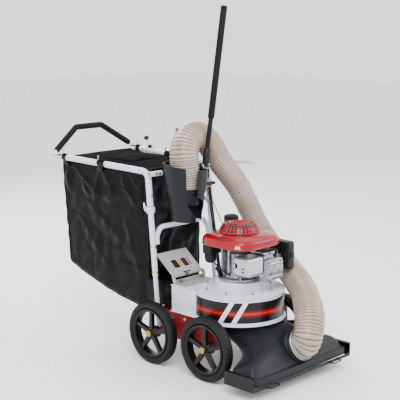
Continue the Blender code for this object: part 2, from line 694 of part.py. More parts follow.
def handle():
    inside_rail = Vector((RAIL_END.x - 0.0053, RAIL_END.y - 0.060, RAIL_END.z - 0.0022))
    half = [inside_rail, RAIL_END + Vector((0.001, 0.012, 0.001)), HANDLE_CORNER, HANDLE_BEND]
    path = rounded(mirrored(half) + half[::-1], 0.035, 3)
    pipe("handle_bar", path, 0.0125, 0.002, "white_steel", 12)
    start = HANDLE_CORNER.lerp(HANDLE_BEND, 0.2)
    grip = rounded([Vector((-start.x, start.y, start.z)),
                    Vector((-HANDLE_BEND.x, HANDLE_BEND.y, HANDLE_BEND.z)),
                    HANDLE_BEND, start], 0.035, 3)
    pipe("handle_grip", grip, 0.0185, 0.0185 - 0.0137, "foam", 12)


def rail_at(y):
    """Middle of the left rail at a distance back."""
    corner = on_upright(1, LEG_TOP)
    return corner.lerp(RAIL_END, (y - corner.y) / (RAIL_END.y - corner.y))


def controls():
    tip = Vector((0.330, -0.085, 1.098))
    root = Vector((0.2745, 0.200, 1.086))
    way = (tip - root).normalized()
    arm = [root, tip - 0.012 * way, tip - 0.004 * way, tip]
    rod("hose_arm", arm, [0.0145, 0.0145, 0.011, 0.003], "white_steel", 12)

    top, foot = Vector((0.211, 0.172, 0.930)), Vector((0.211, 0.084, 0.420))
    rod("brace_tube", [top, foot], 0.0105, "black_steel", 10)

    seat = rail_at(0.765) + Vector((0, 0, LEG_R + 0.001))
    saddle = box("lever_bracket", seat + Vector((-0.012, -0.018, 0)),
                 seat + Vector((0.012, 0.018, 0.004)), "black_steel")
    for x in (-0.0085, 0.0055):
        fuse(saddle, box("cheek", seat + Vector((x, -0.008, 0.003)), seat + Vector((x + 0.003, 0.008, 0.016))))
    pivot = seat + Vector((0, 0, 0.011))
    stem = [pivot + Vector(p) for p in ((0, 0, -0.005), (0, 0.006, 0.012), (-0.004, 0.020, 0.036))]
    lever = rod("throttle_lever", stem, 0.0035, "zinc", 8, at=pivot)
    top_of_stem = stem[-1]
    rings = []
    for h, wide, deep in ((-0.002, 0.006, 0.005), (0.010, 0.015, 0.007), (0.020, 0.017, 0.006),
                          (0.025, 0.012, 0.004)):
        rings.append([top_of_stem + Vector((wide * cos(2 * pi * j / 12), deep * sin(2 * pi * j / 12)
                                            + h * 0.45, h)) for j in range(12)])
    fuse(lever, loft("knob", rings))

    under = Vector((0.0, 0.0, -LEG_R - 0.0055))
    beside = Vector((0.024, 0.0, 0.0))
    route = [Vector((0.150, -0.060, 0.640)), Vector((0.200, 0.020, 0.660)),
             Vector((0.245, 0.110, 0.740)), on_upright(1, 0.84) + beside * 1.1,
             on_upright(1, 0.90) + beside,
             on_upright(1, 0.97) + beside, rail_at(0.262) + Vector((0.022, 0, -0.024)),
             rail_at(0.34) + Vector((0.012, 0, -0.027)), rail_at(0.50) + under, rail_at(0.70) + under]
    rod("throttle_cable", spline(route, 3), 0.003, "rope", 6)


# ---- hand hose ----------------------------------------------------------------------------------
HOSE_ROUTE = [Vector(p) for p in (
    (0.020, -0.6760, 0.2040), (0.020, -0.7160, 0.2240), (0.034, -0.724, 0.276),
    (0.094, -0.682, 0.356), (0.226, -0.530, 0.436), (0.314, -0.350, 0.513),
    (0.329, -0.218, 0.610), (0.320, -0.125, 0.711), (0.306, -0.062, 0.819),
    (0.262, -0.010, 0.953), (0.213, 0.025, 1.037), (0.166, 0.055, 1.114), (0.115, 0.073, 1.200),
    (0.062, 0.080, 1.247), (-0.003, 0.080, 1.268), (-0.080, 0.066, 1.237),
    (-0.116, 0.052, 1.183), (-0.118, 0.048, 1.115), (-0.116, 0.047, 0.972),
)]


def hose_size(share):
    """Stretched a little thinner over its middle, full size where it is pushed on."""
    return HOSE_R + 0.0065 * (cos(2 * pi * share) - 0.25)


# the hose in lengths short enough for close collision: points of the route that each runs between
HOSE_LENGTHS = (("front", 0, 4), ("side", 4, 8), ("upper", 8, 12), ("arch", 12, 17), ("end", 17, 18))


def hand_hose():
    """One smooth hollow hose, parted by hairline gaps where one length hands over to the next."""
    steps = 2
    path = spline(HOSE_ROUTE, steps)
    path[0] = PORT + 0.0006 * PORT_AXIS
    path[1] = PORT + 0.0220 * PORT_AXIS
    sizes = [hose_size(i / (len(path) - 1)) for i in range(len(path))]
    outside = pipe_rings(path, sizes, 16)
    inside = pipe_rings(path, [size - HOSE_WALL for size in sizes], 16)
    for tag, start, end in HOSE_LENGTHS:
        first, last = start * steps, end * steps
        skins = []
        for rings in (outside, inside):
            skin = rings[first:last + 1]
            if first:
                ahead = GAP * (path[first + 1] - path[first - 1]).normalized()
                skin[0] = [point + ahead for point in skin[0]]
            skins.append(skin)
        loft("suction_hose_" + tag, skins[0] + skins[1][::-1], "hose_pvc", closed=True)


def hand_nozzle():
    """Flared black hand nozzle, slotted down its front, with a scooped mouth below the slot."""
    levels = ((1.106, 0.125), (1.00, 0.114), (0.955, 0.109), (0.9545, 0.104), (0.88, 0.095),
              (0.795, 0.083))
    outside, inside = [], []
    for z, radius in levels:
        centre = Vector((NOZZLE.x + 0.045 * (1.106 - z), NOZZLE.y, z))
        for thick, rings in ((0, outside), (0.004, inside)):
            ring = []
            for j in range(32):
                a = 2 * pi * j / 32
                rise = 0.018 * (0.717 * sin(a) - 0.697 * cos(a)) if z > 1.1 else 0.0
                reach = radius - thick
                ring.append(centre + Vector((reach * cos(a), reach * sin(a), rise)))
            rings.append(ring)
    shell = loft("hand_nozzle", outside + inside[::-1], "black_plastic", closed=True)
    opening = ((-0.033, 0.2), (0.033, 0.2), (0.033, -0.195), (0.20, -0.125), (0.20, -0.285),
               (0.060, -0.280), (0.010, -0.250), (-0.033, -0.170))
    cutter = loft("cutter", [[Vector((x, y, z)) for x, z in opening] for y in (-0.2, -0.015)])
    turn = Matrix.Translation((NOZZLE.x, NOZZLE.y, 1.106)) @ Matrix.Rotation(radians(-27), 4, "Z")
    cutter.data.transform(turn)
    carve(shell, cutter)


def pole():
    """Long handle pole: a tube in a cupped foot, with a foam grip over its upper part."""
    way = (POLE_HEAD - POLE_FOOT).normalized()
    length = (POLE_HEAD - POLE_FOOT).length
    tube = ((0.0135, 0.030), (0.0135, length - 0.02), (0.0115, length - 0.02), (0.0115, 0.030))
    shaft = turned("pole", tube, POLE_FOOT, way, "black_plastic", 14, closed=True, at=POLE_FOOT)
    grip = ((0.0139, 0.262), (0.0185, 0.266), (0.0185, length - 0.010), (0.014, length),
            (0.0139, length - 0.018))
    turned("pole_grip", grip, POLE_FOOT, way, "foam", 16, closed=True, at=POLE_FOOT)
    cuff = ((0.008, -0.006), (0.018, 0.014), (0.0205, 0.024), (0.0190, 0.092), (0.0125, 0.094),
            (0.0125, 0.0306))
    fuse(shaft, turned("cuff", cuff, POLE_FOOT, way, sides=16))


def pole_clamp():
    """Bracket on the nozzle's wall: a shelf over the rim and two ears for the pole's pivot."""
    clamp = box("pole_clamp", (0.094, -0.024, -0.0165), (0.1370, 0.024, -0.0125), "spring_steel")
    fuse(clamp, box("leg", (0.1325, -0.020, -0.075), (0.1370, 0.020, -0.0130)))
    out = Vector((POLE_FOOT.x - NOZZLE.x, POLE_FOOT.y - NOZZLE.y, 0))
    spin = Matrix.Translation((NOZZLE.x, NOZZLE.y, POLE_FOOT.z)) @ Matrix.Rotation(
        atan2(out.y, out.x), 4, "Z")
    clamp.data.transform(spin)
    for low, high in ((-0.0245, -0.0212), (0.0212, 0.0245)):
        ear = box("ear", (POLE_FOOT.x + low, POLE_FOOT.y - 0.008, POLE_FOOT.z - 0.0145),
                  (POLE_FOOT.x + high, POLE_FOOT.y + 0.008, POLE_FOOT.z + 0.008))
        fuse(clamp, ear)


# ---- collecting bag -----------------------------------------------------------------------------
BAG_SECTIONS = (
    # y at the top, y at the bottom, bottom z, half width, crown of the top
    (0.246, 0.246, 0.262, 0.203, 0.000),
    (0.330, 0.318, 0.256, 0.222, 0.006),
    (0.480, 0.450, 0.288, 0.240, 0.012),
    (0.650, 0.605, 0.336, 0.259, 0.012),
    (0.810, 0.750, 0.388, 0.273, 0.008),
    (0.925, 0.872, 0.441, 0.284, 0.000),
)
BAG_TOP = 1.048
SLEEVE = ((-0.214, 0.014), (0.301, 0.452))


def bag_ring(section, inset):
    top_y, low_y, low_z, width, crown = section
    high_z = BAG_TOP + 0.03 * (top_y - 0.25)
    half_z = (high_z - low_z) / 2
    ring = []
    for x, z in rounded_outline(width - inset, half_z - inset, 0.03, 3):
        share = (z + half_z) / (2 * half_z)
        lift = crown * (1 - (x / width) ** 2) if z > 0 else 0.0
        ring.append(Vector((x, low_y + (top_y - low_y) * share, low_z + half_z + z + lift)))
    return ring


def bag():
    wall = 0.003
    shell = loft("collecting_bag", [bag_ring(s, 0) for s in BAG_SECTIONS], "bag_fabric")
    (x0, x1), (z0, z1) = SLEEVE
    start = CHUTE_END + 0.005
    fuse(shell, box("sleeve", (x0, start, z0), (x1, 0.260, z1)))
    sections = [list(s) for s in BAG_SECTIONS]
    for value in (0, 1):
        sections[0][value] += wall
        sections[-1][value] -= wall
    hollow = loft("hollow", [bag_ring(s, wall) for s in sections])
    mouth = box("mouth", (x0 + wall, start - 0.02, z0 + wall), (x1 - wall, 0.270, z1 - wall))
    fuse(hollow, mouth)
    carve(shell, hollow)


running_gear()
chassis()
impeller_housing()
pedestal()
rotor()
nozzle_hood()
nozzle_frame()
crankcase()
cylinder_block()
muffler()
air_cleaner()
fuel_system()
shroud()
starter()
discharge_door()
hinge_bracket()
uprights()
hoops()
handle()
controls()
hand_hose()
hand_nozzle()
pole()
pole_clamp()
bag()
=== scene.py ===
"""Looks of a walk-behind leaf vacuum: ribbed hose, cloth bag, tyres, engine covers and every finish.

Metres, +Z up, ground at zero; the nozzle faces -Y, the handle +Y, and the operator's right is -X.
Each new piece is a grid of points worked out from a formula; CAD nodes keep their shape and get a finish.
"""

import json

import bmesh
import bpy
import numpy as np
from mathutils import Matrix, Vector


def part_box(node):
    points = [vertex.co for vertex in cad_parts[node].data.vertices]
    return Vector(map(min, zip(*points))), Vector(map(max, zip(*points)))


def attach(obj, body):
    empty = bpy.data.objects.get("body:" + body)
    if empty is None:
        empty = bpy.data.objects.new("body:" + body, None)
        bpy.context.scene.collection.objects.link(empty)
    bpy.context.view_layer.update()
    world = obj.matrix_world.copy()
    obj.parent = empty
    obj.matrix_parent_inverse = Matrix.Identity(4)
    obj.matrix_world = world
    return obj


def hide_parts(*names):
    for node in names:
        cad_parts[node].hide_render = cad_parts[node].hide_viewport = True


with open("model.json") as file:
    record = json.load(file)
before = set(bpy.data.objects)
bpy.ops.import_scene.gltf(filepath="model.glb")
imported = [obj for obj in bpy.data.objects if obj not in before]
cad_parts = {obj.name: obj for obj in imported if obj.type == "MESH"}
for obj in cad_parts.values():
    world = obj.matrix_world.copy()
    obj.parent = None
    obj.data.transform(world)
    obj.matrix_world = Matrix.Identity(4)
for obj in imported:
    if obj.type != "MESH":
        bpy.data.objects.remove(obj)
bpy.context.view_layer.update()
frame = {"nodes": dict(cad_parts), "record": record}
NODES = frame["nodes"]
TURN = 2 * np.pi
MM = 0.001

ORIGIN_Y = -0.1152          # the design's mid-wheelbase zero, in the frame's Y
ENGINE = np.array([0.0, -0.26 + ORIGIN_Y, 0.0])
HOUSING_R = 0.25
WHEEL_R = 0.178
RAIL_X = 0.24
RAIL_END = np.array([0.301, 0.909, 1.093])
UPRIGHT_LEAN = 0.0938       # run back for each metre of rise


def spot(x, y, z):
    """A point of the design, in the frame."""
    return np.array([x, y + ORIGIN_Y, z])


def corners(node):
    """Low and high corner of a CAD node's box."""
    low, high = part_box(node)
    return np.array(low), np.array(high)


# ---- materials ----------------------------------------------------------------------------------
def linear(code):
    """sRGB hex to linear RGBA."""
    parts = [int(code[i:i + 2], 16) / 255 for i in (1, 3, 5)]
    return (*[p / 12.92 if p <= 0.04045 else ((p + 0.055) / 1.055) ** 2.4 for p in parts], 1.0)


def add(tree, kind, values=None, links=None, **settings):
    """A shader node with its settings, socket values and incoming links."""
    made = tree.nodes.new(kind)
    for name, value in settings.items():
        setattr(made, name, value)
    for socket, value in (values or {}).items():
        made.inputs[socket].default_value = value
    for socket, source in (links or {}).items():
        tree.links.new(source, made.inputs[socket])
    return made


def bare(name, roughness, **sockets):
    """A new material with its constants on the shader's own sockets."""
    made = bpy.data.materials.new(name)
    made.use_nodes = True
    shader = made.node_tree.nodes["Principled BSDF"]
    shader.inputs["Roughness"].default_value = roughness
    for socket, value in sockets.items():
        shader.inputs[socket.replace("_", " ")].default_value = value
    return made, made.node_tree, shader


def ramp(tree, source, stops):
    """A colour ramp through (place, hex) stops."""
    made = add(tree, "ShaderNodeValToRGB", links={"Fac": source})
    track = made.color_ramp.elements
    while len(track) < len(stops):
        track.new(0.5)
    for element, (place, code) in zip(track, stops):
        element.position = place
        element.color = linear(code)
    return made.outputs["Color"]


def bumped(tree, shader, height, depth, strength=1.0):
    """Raises the surface by the height's pattern, as deep as depth."""
    bump = add(tree, "ShaderNodeBump", {"Strength": strength, "Distance": depth}, {"Height": height})
    tree.links.new(bump.outputs["Normal"], shader.inputs["Normal"])


def grained(name, dark, light, roughness, grain, depth, blotch=90 * MM, swing=0.08, **sockets):
    """Two close colours in broad blotches, with a fine grain in the bump and the roughness."""
    made, tree, shader = bare(name, roughness, **sockets)
    place = add(tree, "ShaderNodeTexCoord").outputs["Object"]
    broad = add(tree, "ShaderNodeTexNoise", {"Scale": 1 / blotch, "Detail": 4.0}, {"Vector": place})
    fine = add(tree, "ShaderNodeTexNoise", {"Scale": 1 / grain, "Detail": 3.0}, {"Vector": place})
    colour = ramp(tree, broad.outputs["Fac"], [(0.32, dark), (0.68, light)])
    tree.links.new(colour, shader.inputs["Base Color"])
    rough = add(tree, "ShaderNodeMapRange", {"To Min": roughness - swing, "To Max": roughness + swing},
                {"Value": fine.outputs["Fac"]})
    tree.links.new(rough.outputs["Result"], shader.inputs["Roughness"])
    bumped(tree, shader, fine.outputs["Fac"], depth)
    return made


def ribbed_pvc():
    """Flexible PVC film over a wire helix: amber-grey film with painted shade, darker towards the valleys
    between the ribs and darkest in a narrow line along the bottom of each valley. The UV map's V counts
    turns of the helix and its U goes round the hose."""
    made, tree, shader = bare("ribbed_flexible_pvc", 0.26, Coat_Weight=0.12, Subsurface_Weight=0.1,
                              Subsurface_Scale=0.01)
    where = add(tree, "ShaderNodeUVMap", uv_map="UVMap").outputs["UV"]
    parts = add(tree, "ShaderNodeSeparateXYZ", links={"Vector": where})
    turns = add(tree, "ShaderNodeMath", links={0: parts.outputs["Y"], 1: parts.outputs["X"]},
                operation="SUBTRACT")
    share = add(tree, "ShaderNodeMath", links={0: turns.outputs[0]}, operation="FRACT")
    # painted shade: the film darkens towards each valley between the ribs, darkest along its bottom
    film = ramp(tree, share.outputs[0], [(0.0, "#a99b90"), (0.25, "#9e9086"), (0.40, "#8c7f76"),
                                         (0.47, "#3b332f"), (0.53, "#3b332f"), (0.60, "#8c7f76"),
                                         (0.75, "#9e9086"), (1.0, "#a99b90")])
    place = add(tree, "ShaderNodeTexCoord").outputs["Object"]
    cloud = add(tree, "ShaderNodeTexNoise", {"Scale": 9.0, "Detail": 3.0}, {"Vector": place})
    tint = ramp(tree, cloud.outputs["Fac"], [(0.30, "#e9ddd2"), (0.70, "#ffffff")])
    mixed = add(tree, "ShaderNodeMix", {"Factor": 1.0}, {6: film, 7: tint}, data_type="RGBA",
                blend_type="MULTIPLY")
    tree.links.new(mixed.outputs[2], shader.inputs["Base Color"])
    fine = add(tree, "ShaderNodeTexNoise", {"Scale": 260.0}, {"Vector": place})
    bumped(tree, shader, fine.outputs["Fac"], 0.2 * MM)
    return made


def bag_cloth(name, roughness, sheen):
    """Coated polyester: a plain weave drawn at 3 mm so that it shows, with a dull sheen on its folds."""
    made, tree, shader = bare(name, roughness, Specular_IOR_Level=sheen)
    where = add(tree, "ShaderNodeUVMap", uv_map="UVMap").outputs["UV"]
    waves = []
    for axis in ("X", "Y"):
        wave = add(tree, "ShaderNodeTexWave", {"Scale": TURN / (20 * 3 * MM)}, {"Vector": where},
                   bands_direction=axis)
        waves.append(wave.outputs["Fac"])
    weave = add(tree, "ShaderNodeMath", links={0: waves[0], 1: waves[1]}, operation="MULTIPLY")
    place = add(tree, "ShaderNodeTexCoord").outputs["Object"]
    dust = add(tree, "ShaderNodeTexNoise", {"Scale": 7.0, "Detail": 5.0}, {"Vector": place})
    colour = ramp(tree, dust.outputs["Fac"], [(0.30, "#040405"), (0.55, "#060607"), (0.75, "#090a0c")])
    tree.links.new(colour, shader.inputs["Base Color"])
    bumped(tree, shader, weave.outputs[0], 0.25 * MM, 0.5)
    return made


def decal_vinyl():
    """Printed vinyl band: black, a red glow along its middle and two slanted white stripes.
    U is metres along the band, V runs from 0 at its foot to 1."""
    made, tree, shader = bare("printed_vinyl", 0.28, Specular_IOR_Level=0.25)
    where = add(tree, "ShaderNodeUVMap", uv_map="UVMap").outputs["UV"]
    parts = add(tree, "ShaderNodeSeparateXYZ", links={"Vector": where})
    along, rise = parts.outputs["X"], parts.outputs["Y"]
    off = add(tree, "ShaderNodeMath", {1: 0.45}, {0: rise}, operation="SUBTRACT")
    away = add(tree, "ShaderNodeMath", links={0: off.outputs[0]}, operation="ABSOLUTE")
    glow = ramp(tree, away.outputs[0], [(0.0, "#c01a0e"), (0.05, "#8a0808"), (0.16, "#2c0305"),
                                        (0.30, "#060608")])
    lean = add(tree, "ShaderNodeMath", {1: 0.066}, {0: rise}, operation="MULTIPLY")
    slanted = add(tree, "ShaderNodeMath", links={0: along, 1: lean.outputs[0]}, operation="SUBTRACT")
    shade = glow
    for start in (0.188, 0.262):
        past = add(tree, "ShaderNodeMath", {1: start}, {0: slanted.outputs[0]}, operation="SUBTRACT")
        middle = add(tree, "ShaderNodeMath", {1: 0.014}, {0: past.outputs[0]}, operation="SUBTRACT")
        size = add(tree, "ShaderNodeMath", links={0: middle.outputs[0]}, operation="ABSOLUTE")
        inside = add(tree, "ShaderNodeMath", {1: 0.014}, {0: size.outputs[0]}, operation="LESS_THAN")
        mixed = add(tree, "ShaderNodeMix", {7: linear("#dcdde4")}, {0: inside.outputs[0], 6: shade},
                    data_type="RGBA")
        shade = mixed.outputs[2]
    tree.links.new(shade, shader.inputs["Base Color"])
    return made


def recessed(name, face, hollow, roughness, **sockets):
    """A moulding whose openings, marked by its `recess` attribute, are painted near-black as the shade
    inside them.
    """
    made, tree, shader = bare(name, roughness, **sockets)
    depth = add(tree, "ShaderNodeAttribute", attribute_name="recess").outputs["Fac"]
    colour = ramp(tree, depth, [(0.35, face), (0.75, hollow)])
    tree.links.new(colour, shader.inputs["Base Color"])
    place = add(tree, "ShaderNodeTexCoord").outputs["Object"]
    fine = add(tree, "ShaderNodeTexNoise", {"Scale": 500.0}, {"Vector": place})
    bumped(tree, shader, fine.outputs["Fac"], 0.05 * MM)
    return made


def braided_cord():
    """Braided polyester cord: crossing strands 4 mm apart."""
    made, tree, shader = bare("braided_cord", 0.75)
    place = add(tree, "ShaderNodeTexCoord").outputs["Object"]
    cells = add(tree, "ShaderNodeTexVoronoi", {"Scale": 250.0}, {"Vector": place})
    colour = ramp(tree, cells.outputs["Distance"], [(0.1, "#55565a"), (0.5, "#17181a")])
    tree.links.new(colour, shader.inputs["Base Color"])
    bumped(tree, shader, cells.outputs["Distance"], 0.5 * MM)
    return made


FINISHES = {
    # oven-cured powder: smooth, a faint orange peel, a soft highlight
    "white_powder_coat": grained("white_powder_coat", "#c9ccda", "#d3d6e4", 0.30, 2.2 * MM, 0.05 * MM,
                                 Coat_Weight=0.2),
    "red_powder_coat": grained("red_powder_coat", "#660006", "#78000b", 0.30, 2.2 * MM, 0.05 * MM,
                               Specular_IOR_Level=0.3),
    "black_powder_coat": grained("black_powder_coat", "#040405", "#08080a", 0.30, 2 * MM, 0.06 * MM,
                                 Specular_IOR_Level=0.25),
    # injection-moulded polypropylene, polished mould: glossy, deep red
    "red_engine_plastic": grained("glossy_red_moulding", "#7c0010", "#8c0016", 0.20, 3 * MM, 0.03 * MM,
                                  swing=0.04, Coat_Weight=0.25, Coat_Roughness=0.10,
                                  Specular_IOR_Level=0.3),
    # rotomoulded polyethylene: a pebbled skin that breaks up the highlight
    "black_moulding": grained("pebbled_black_polyethylene", "#0c0e12", "#12151a", 0.46, 2 * MM,
                              0.22 * MM, Specular_IOR_Level=0.22),
    # dyed anodised tube: an even black with a narrow streak of light along it
    "black_tube": grained("black_anodised_tube", "#050506", "#08080a", 0.34, 3 * MM, 0.03 * MM,
                          Specular_IOR_Level=0.2),
    # glass-filled nylon: a satin black, finely mottled
    "wheel_plastic": grained("black_nylon", "#040405", "#070708", 0.36, 3 * MM, 0.06 * MM,
                             Specular_IOR_Level=0.25),
    # vulcanised rubber: matt, a little dusty, grain drawn at 1.8 mm so that it shows
    "tyre_rubber": grained("tread_rubber", "#060607", "#0b0b0d", 0.60, 1.8 * MM, 0.15 * MM,
                           Specular_IOR_Level=0.25),
    # die-cast metal: coarse grain, dull grey in its hollows
    "cast_aluminium": grained("die_cast_aluminium", "#77797d", "#a9abae", 0.40, 2.5 * MM, 0.16 * MM,
                              blotch=30 * MM, Metallic=0.85),
    # hot-dip aluminised steel, pressed: a bright grey that heat has clouded in patches
    "silencer_sheet": grained("aluminised_sheet", "#a2a4a7", "#c6c7c9", 0.34, 4 * MM, 0.06 * MM,
                              blotch=40 * MM, Metallic=0.9),
    # zinc plate: clean, bright, faintly blue
    "bright_steel": grained("bright_zinc_plate", "#a9adb0", "#c6cacc", 0.28, 3 * MM, 0.04 * MM,
                            Metallic=1.0),
    # chromate over zinc: gold that shifts in small patches
    "yellow_zinc": grained("yellow_passivated_zinc", "#a4873f", "#c2a55a", 0.32, 2 * MM, 0.05 * MM,
                           blotch=12 * MM, Metallic=1.0),
    # wet-painted sheet: an even warm grey
    "grey_sheet": grained("grey_painted_sheet", "#8d8f92", "#9b9d9f", 0.36, 2.5 * MM, 0.05 * MM),
    # closed-cell foam: a matt skin with open pores
    "foam_sleeve": grained("closed_cell_foam", "#040405", "#070708", 0.70, 1.6 * MM, 0.35 * MM,
                           Specular_IOR_Level=0.2),
    "hose_pvc": ribbed_pvc(),
    "bag_cloth": bag_cloth("coated_polyester_cloth", 0.34, 0.13),
    "cord_black": braided_cord(),
}
# painted shade: the cloth that looks up takes a rougher copy with almost no sheen, so that the bag's top
# reads dark
SHADED_TOP_CLOTH = bag_cloth("shaded_top_polyester_cloth", 0.80, 0.015)
DECAL = decal_vinyl()
# the same red moulding, with painted shade, near-black, in its slots
GRILLE = recessed("glossy_red_grille", "#84000f", "#030102", 0.26, Coat_Weight=0.2,
                  Specular_IOR_Level=0.3)
# the silencer's sheet, with painted shade, near-black, in its outlet and slots
SILENCER = recessed("pressed_silencer_sheet", "#b9babc", "#08080a", 0.30, Metallic=0.9)
# hot-dipped vinyl: thick, wet-looking red
RED_GRIP = grained("dipped_red_vinyl", "#7a0008", "#8c000e", 0.30, 2 * MM, 0.04 * MM, Coat_Weight=0.3)
# laminated paper labels: flat colours under a thin gloss
LABEL_DARK = grained("printed_label_dark", "#060607", "#0b0b0d", 0.28, 3 * MM, 0.02 * MM,
                     Specular_IOR_Level=0.25)
LABEL_LIGHT = grained("printed_label_light", "#b4b5b6", "#c0c1c1", 0.28, 3 * MM, 0.02 * MM)
LABEL_AMBER = grained("printed_label_amber", "#b86a08", "#c97d10", 0.28, 3 * MM, 0.02 * MM)


def finish_cad_nodes():
    """Every CAD node takes its record slot's finish."""
    slots = {s["node"]: s["material_slot"] for s in frame["record"]["subparts"]}
    for name, thing in NODES.items():
        thing.data.materials.clear()
        thing.data.materials.append(FINISHES[slots[name]])


# ---- making surfaces ----------------------------------------------------------------------------
def surface(name, points, wrap=(False, False), uv=None, recess=None):
    """Quads between neighbours of one grid of points, or of many stacked grids.  wrap joins the last
    row or column to the first; uv has one more row or column where the grid wraps."""
    points = np.asarray(points, float)
    rows, columns = points.shape[-3:-1]
    sheets = points.reshape(-1, rows, columns, 3)
    index = np.arange(rows * columns).reshape(rows, columns)
    if wrap[0]:
        index = np.vstack([index, index[:1]])
    if wrap[1]:
        index = np.hstack([index, index[:, :1]])
    quads = np.stack([index[:-1, :-1], index[1:, :-1], index[1:, 1:], index[:-1, 1:]], -1).reshape(-1, 4)
    step = rows * columns
    every = (quads[None] + (np.arange(len(sheets)) * step)[:, None, None]).reshape(-1, 4)
    mesh = bpy.data.meshes.new(name)
    mesh.vertices.add(len(sheets) * step)
    mesh.vertices.foreach_set("co", sheets.reshape(-1).astype(np.float32))
    mesh.loops.add(every.size)
    mesh.loops.foreach_set("vertex_index", every.reshape(-1).astype(np.int32))
    mesh.polygons.add(len(every))
    mesh.polygons.foreach_set("loop_start", np.arange(0, every.size, 4, dtype=np.int32))
    mesh.update(calc_edges=True)
    if uv is not None:
        wide = np.arange(uv.shape[0] * uv.shape[1]).reshape(uv.shape[:2])
        reach = np.stack([wide[:-1, :-1], wide[1:, :-1], wide[1:, 1:], wide[:-1, 1:]], -1).reshape(-1)
        layer = mesh.uv_layers.new(name="UVMap")
        flat = np.asarray(uv, float).reshape(-1, 2)[reach]
        layer.data.foreach_set("uv", np.tile(flat, (len(sheets), 1)).reshape(-1).astype(np.float32))
    if recess is not None:
        mark = mesh.attributes.new("recess", "FLOAT", "POINT")
        mark.data.foreach_set("value", np.asarray(recess, np.float32).reshape(-1))
    work = bmesh.new()
    work.from_mesh(mesh)
    bmesh.ops.remove_doubles(work, verts=work.verts, dist=1e-6)
    bmesh.ops.recalc_face_normals(work, faces=work.faces)
    if work.calc_volume(signed=True) < 0:
        bmesh.ops.reverse_faces(work, faces=work.faces)
    work.to_mesh(mesh)
    work.free()
    mesh.polygons.foreach_set("use_smooth", np.ones(len(mesh.polygons), bool))
    thing = bpy.data.objects.new(name, mesh)
    bpy.context.scene.collection.objects.link(thing)
    return thing


def fit(thing, slot="black_moulding", body="machine", stands_for=(), sharp=None, look=None):
    """Gives a piece the finish of its record slot, or the look given instead, puts it in its body, and
    hides the CAD nodes that it stands for."""
    thing.data.materials.append(look or FINISHES[slot])
    if sharp:
        thing.data.set_sharp_from_angle(angle=np.radians(sharp))
    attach(thing, body)
    if stands_for:
        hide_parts(*stands_for)
    return thing


def signed_power(values, power):
    """The size of each value raised to a power, with the value's own sign."""
    return np.sign(values) * np.abs(values) ** power


def squircle(angle, power):
    """Distance to the edge of the curve |x|^power + |y|^power = 1 at each angle."""
    return (np.abs(np.cos(angle)) ** power + np.abs(np.sin(angle)) ** power) ** (-1 / power)


def flat_uv(width, columns, length, rows):
    """A UV grid in metres: width over the columns and length over the rows."""
    return np.stack(np.meshgrid(np.linspace(0, width, columns), np.linspace(0, length, rows)), -1)


def axes_of(directions):
    """Two unit vectors square to each direction."""
    along = directions / np.linalg.norm(directions, axis=-1, keepdims=True)
    guide = np.eye(3)[np.abs(along).argmin(-1)]
    side = np.cross(along, guide)
    side /= np.linalg.norm(side, axis=-1, keepdims=True)
    return along, side, np.cross(along, side)


def walk_profile(profile, steps):
    """Columns of a table of points, read at even steps from its first row to its last, and the steps."""
    profile = np.asarray(profile, float)
    rows = np.arange(len(profile))
    walk = np.linspace(0, rows[-1], steps)
    return [np.interp(walk, rows, column) for column in profile.T], walk


def turned(name, profile, places, directions, sides=32, waves=None):
    """Revolves (radius, height) pairs about the axis at each place; waves scales the radius by angle."""
    profile = np.asarray(profile, float)
    places = np.atleast_2d(places)
    along, side, up = axes_of(np.broadcast_to(np.atleast_2d(directions), places.shape).astype(float))
    angle = np.linspace(0, TURN, sides, endpoint=False)
    scale = np.ones(sides) if waves is None else waves(angle)
    ring = side[:, None] * np.cos(angle)[:, None] + up[:, None] * np.sin(angle)[:, None]
    radial = profile[None, :, None, :1] * (ring * scale[:, None])[:, None]
    points = places[:, None, None] + radial + profile[None, :, None, 1:] * along[:, None, None]
    return surface(name, points, (False, True))


def run_along(path):
    """Length walked along a path up to each of its points."""
    return np.concatenate([[0], np.cumsum(np.linalg.norm(np.diff(path, axis=0), axis=1))])


def at_lengths(path, run, lengths):
    """Points of a path at the given lengths along it."""
    return np.stack([np.interp(lengths, run, path[:, k]) for k in range(3)], -1)


def smooth_path(points, spacing):
    """A Catmull-Rom curve through the points, resampled at an even spacing along its length."""
    points = np.asarray(points, float)
    ends = np.vstack([2 * points[0] - points[1], points, 2 * points[-1] - points[-2]])
    a, b, c, d = (ends[i:len(ends) - 3 + i, None] for i in range(4))
    t = np.linspace(0, 1, 40, endpoint=False)[None, :, None]
    curve = 0.5 * (2 * b + (c - a) * t + (2 * a - 5 * b + 4 * c - d) * t ** 2
                   + (3 * b - a - 3 * c + d) * t ** 3)
    curve = np.vstack([curve.reshape(-1, 3), points[-1:]])
    run = run_along(curve)
    even = np.linspace(0, run[-1], max(3, int(run[-1] / spacing) + 1))
    return at_lengths(curve, run, even), even


def tube(name, path, radius, sides=20, inner=None, uv=None, guide=None):
    """A skin at `radius` (one, or rows by sides) round a path; with `inner` the bore's skin comes back
    and closes it, and without it both ends close to a point."""
    path = np.asarray(path, float)
    along = np.gradient(path, axis=0)
    along /= np.linalg.norm(along, axis=1, keepdims=True)
    if guide is None:
        guide = np.eye(3)[np.abs(along).max(0).argmin()]
    side = np.cross(along, guide)
    side /= np.linalg.norm(side, axis=1, keepdims=True)
    up = np.cross(along, side)
    angle = np.linspace(0, TURN, sides, endpoint=False)
    ring = side[:, None] * np.cos(angle)[:, None] + up[:, None] * np.sin(angle)[:, None]
    size = np.broadcast_to(np.asarray(radius, float).reshape(-1, 1 if np.ndim(radius) < 2 else sides),
                           (len(path), sides))
    outside = path[:, None] + ring * size[..., None]
    if inner is None:
        centre = np.repeat(path[[0, -1], None], sides, 1)
        points = np.concatenate([centre[:1], outside, centre[1:]])
        return surface(name, points, (False, True), uv)
    inside = path[:, None] + ring * np.reshape(inner, (-1, 1, 1))
    return surface(name, np.concatenate([outside, inside[::-1]]), (True, True), uv)


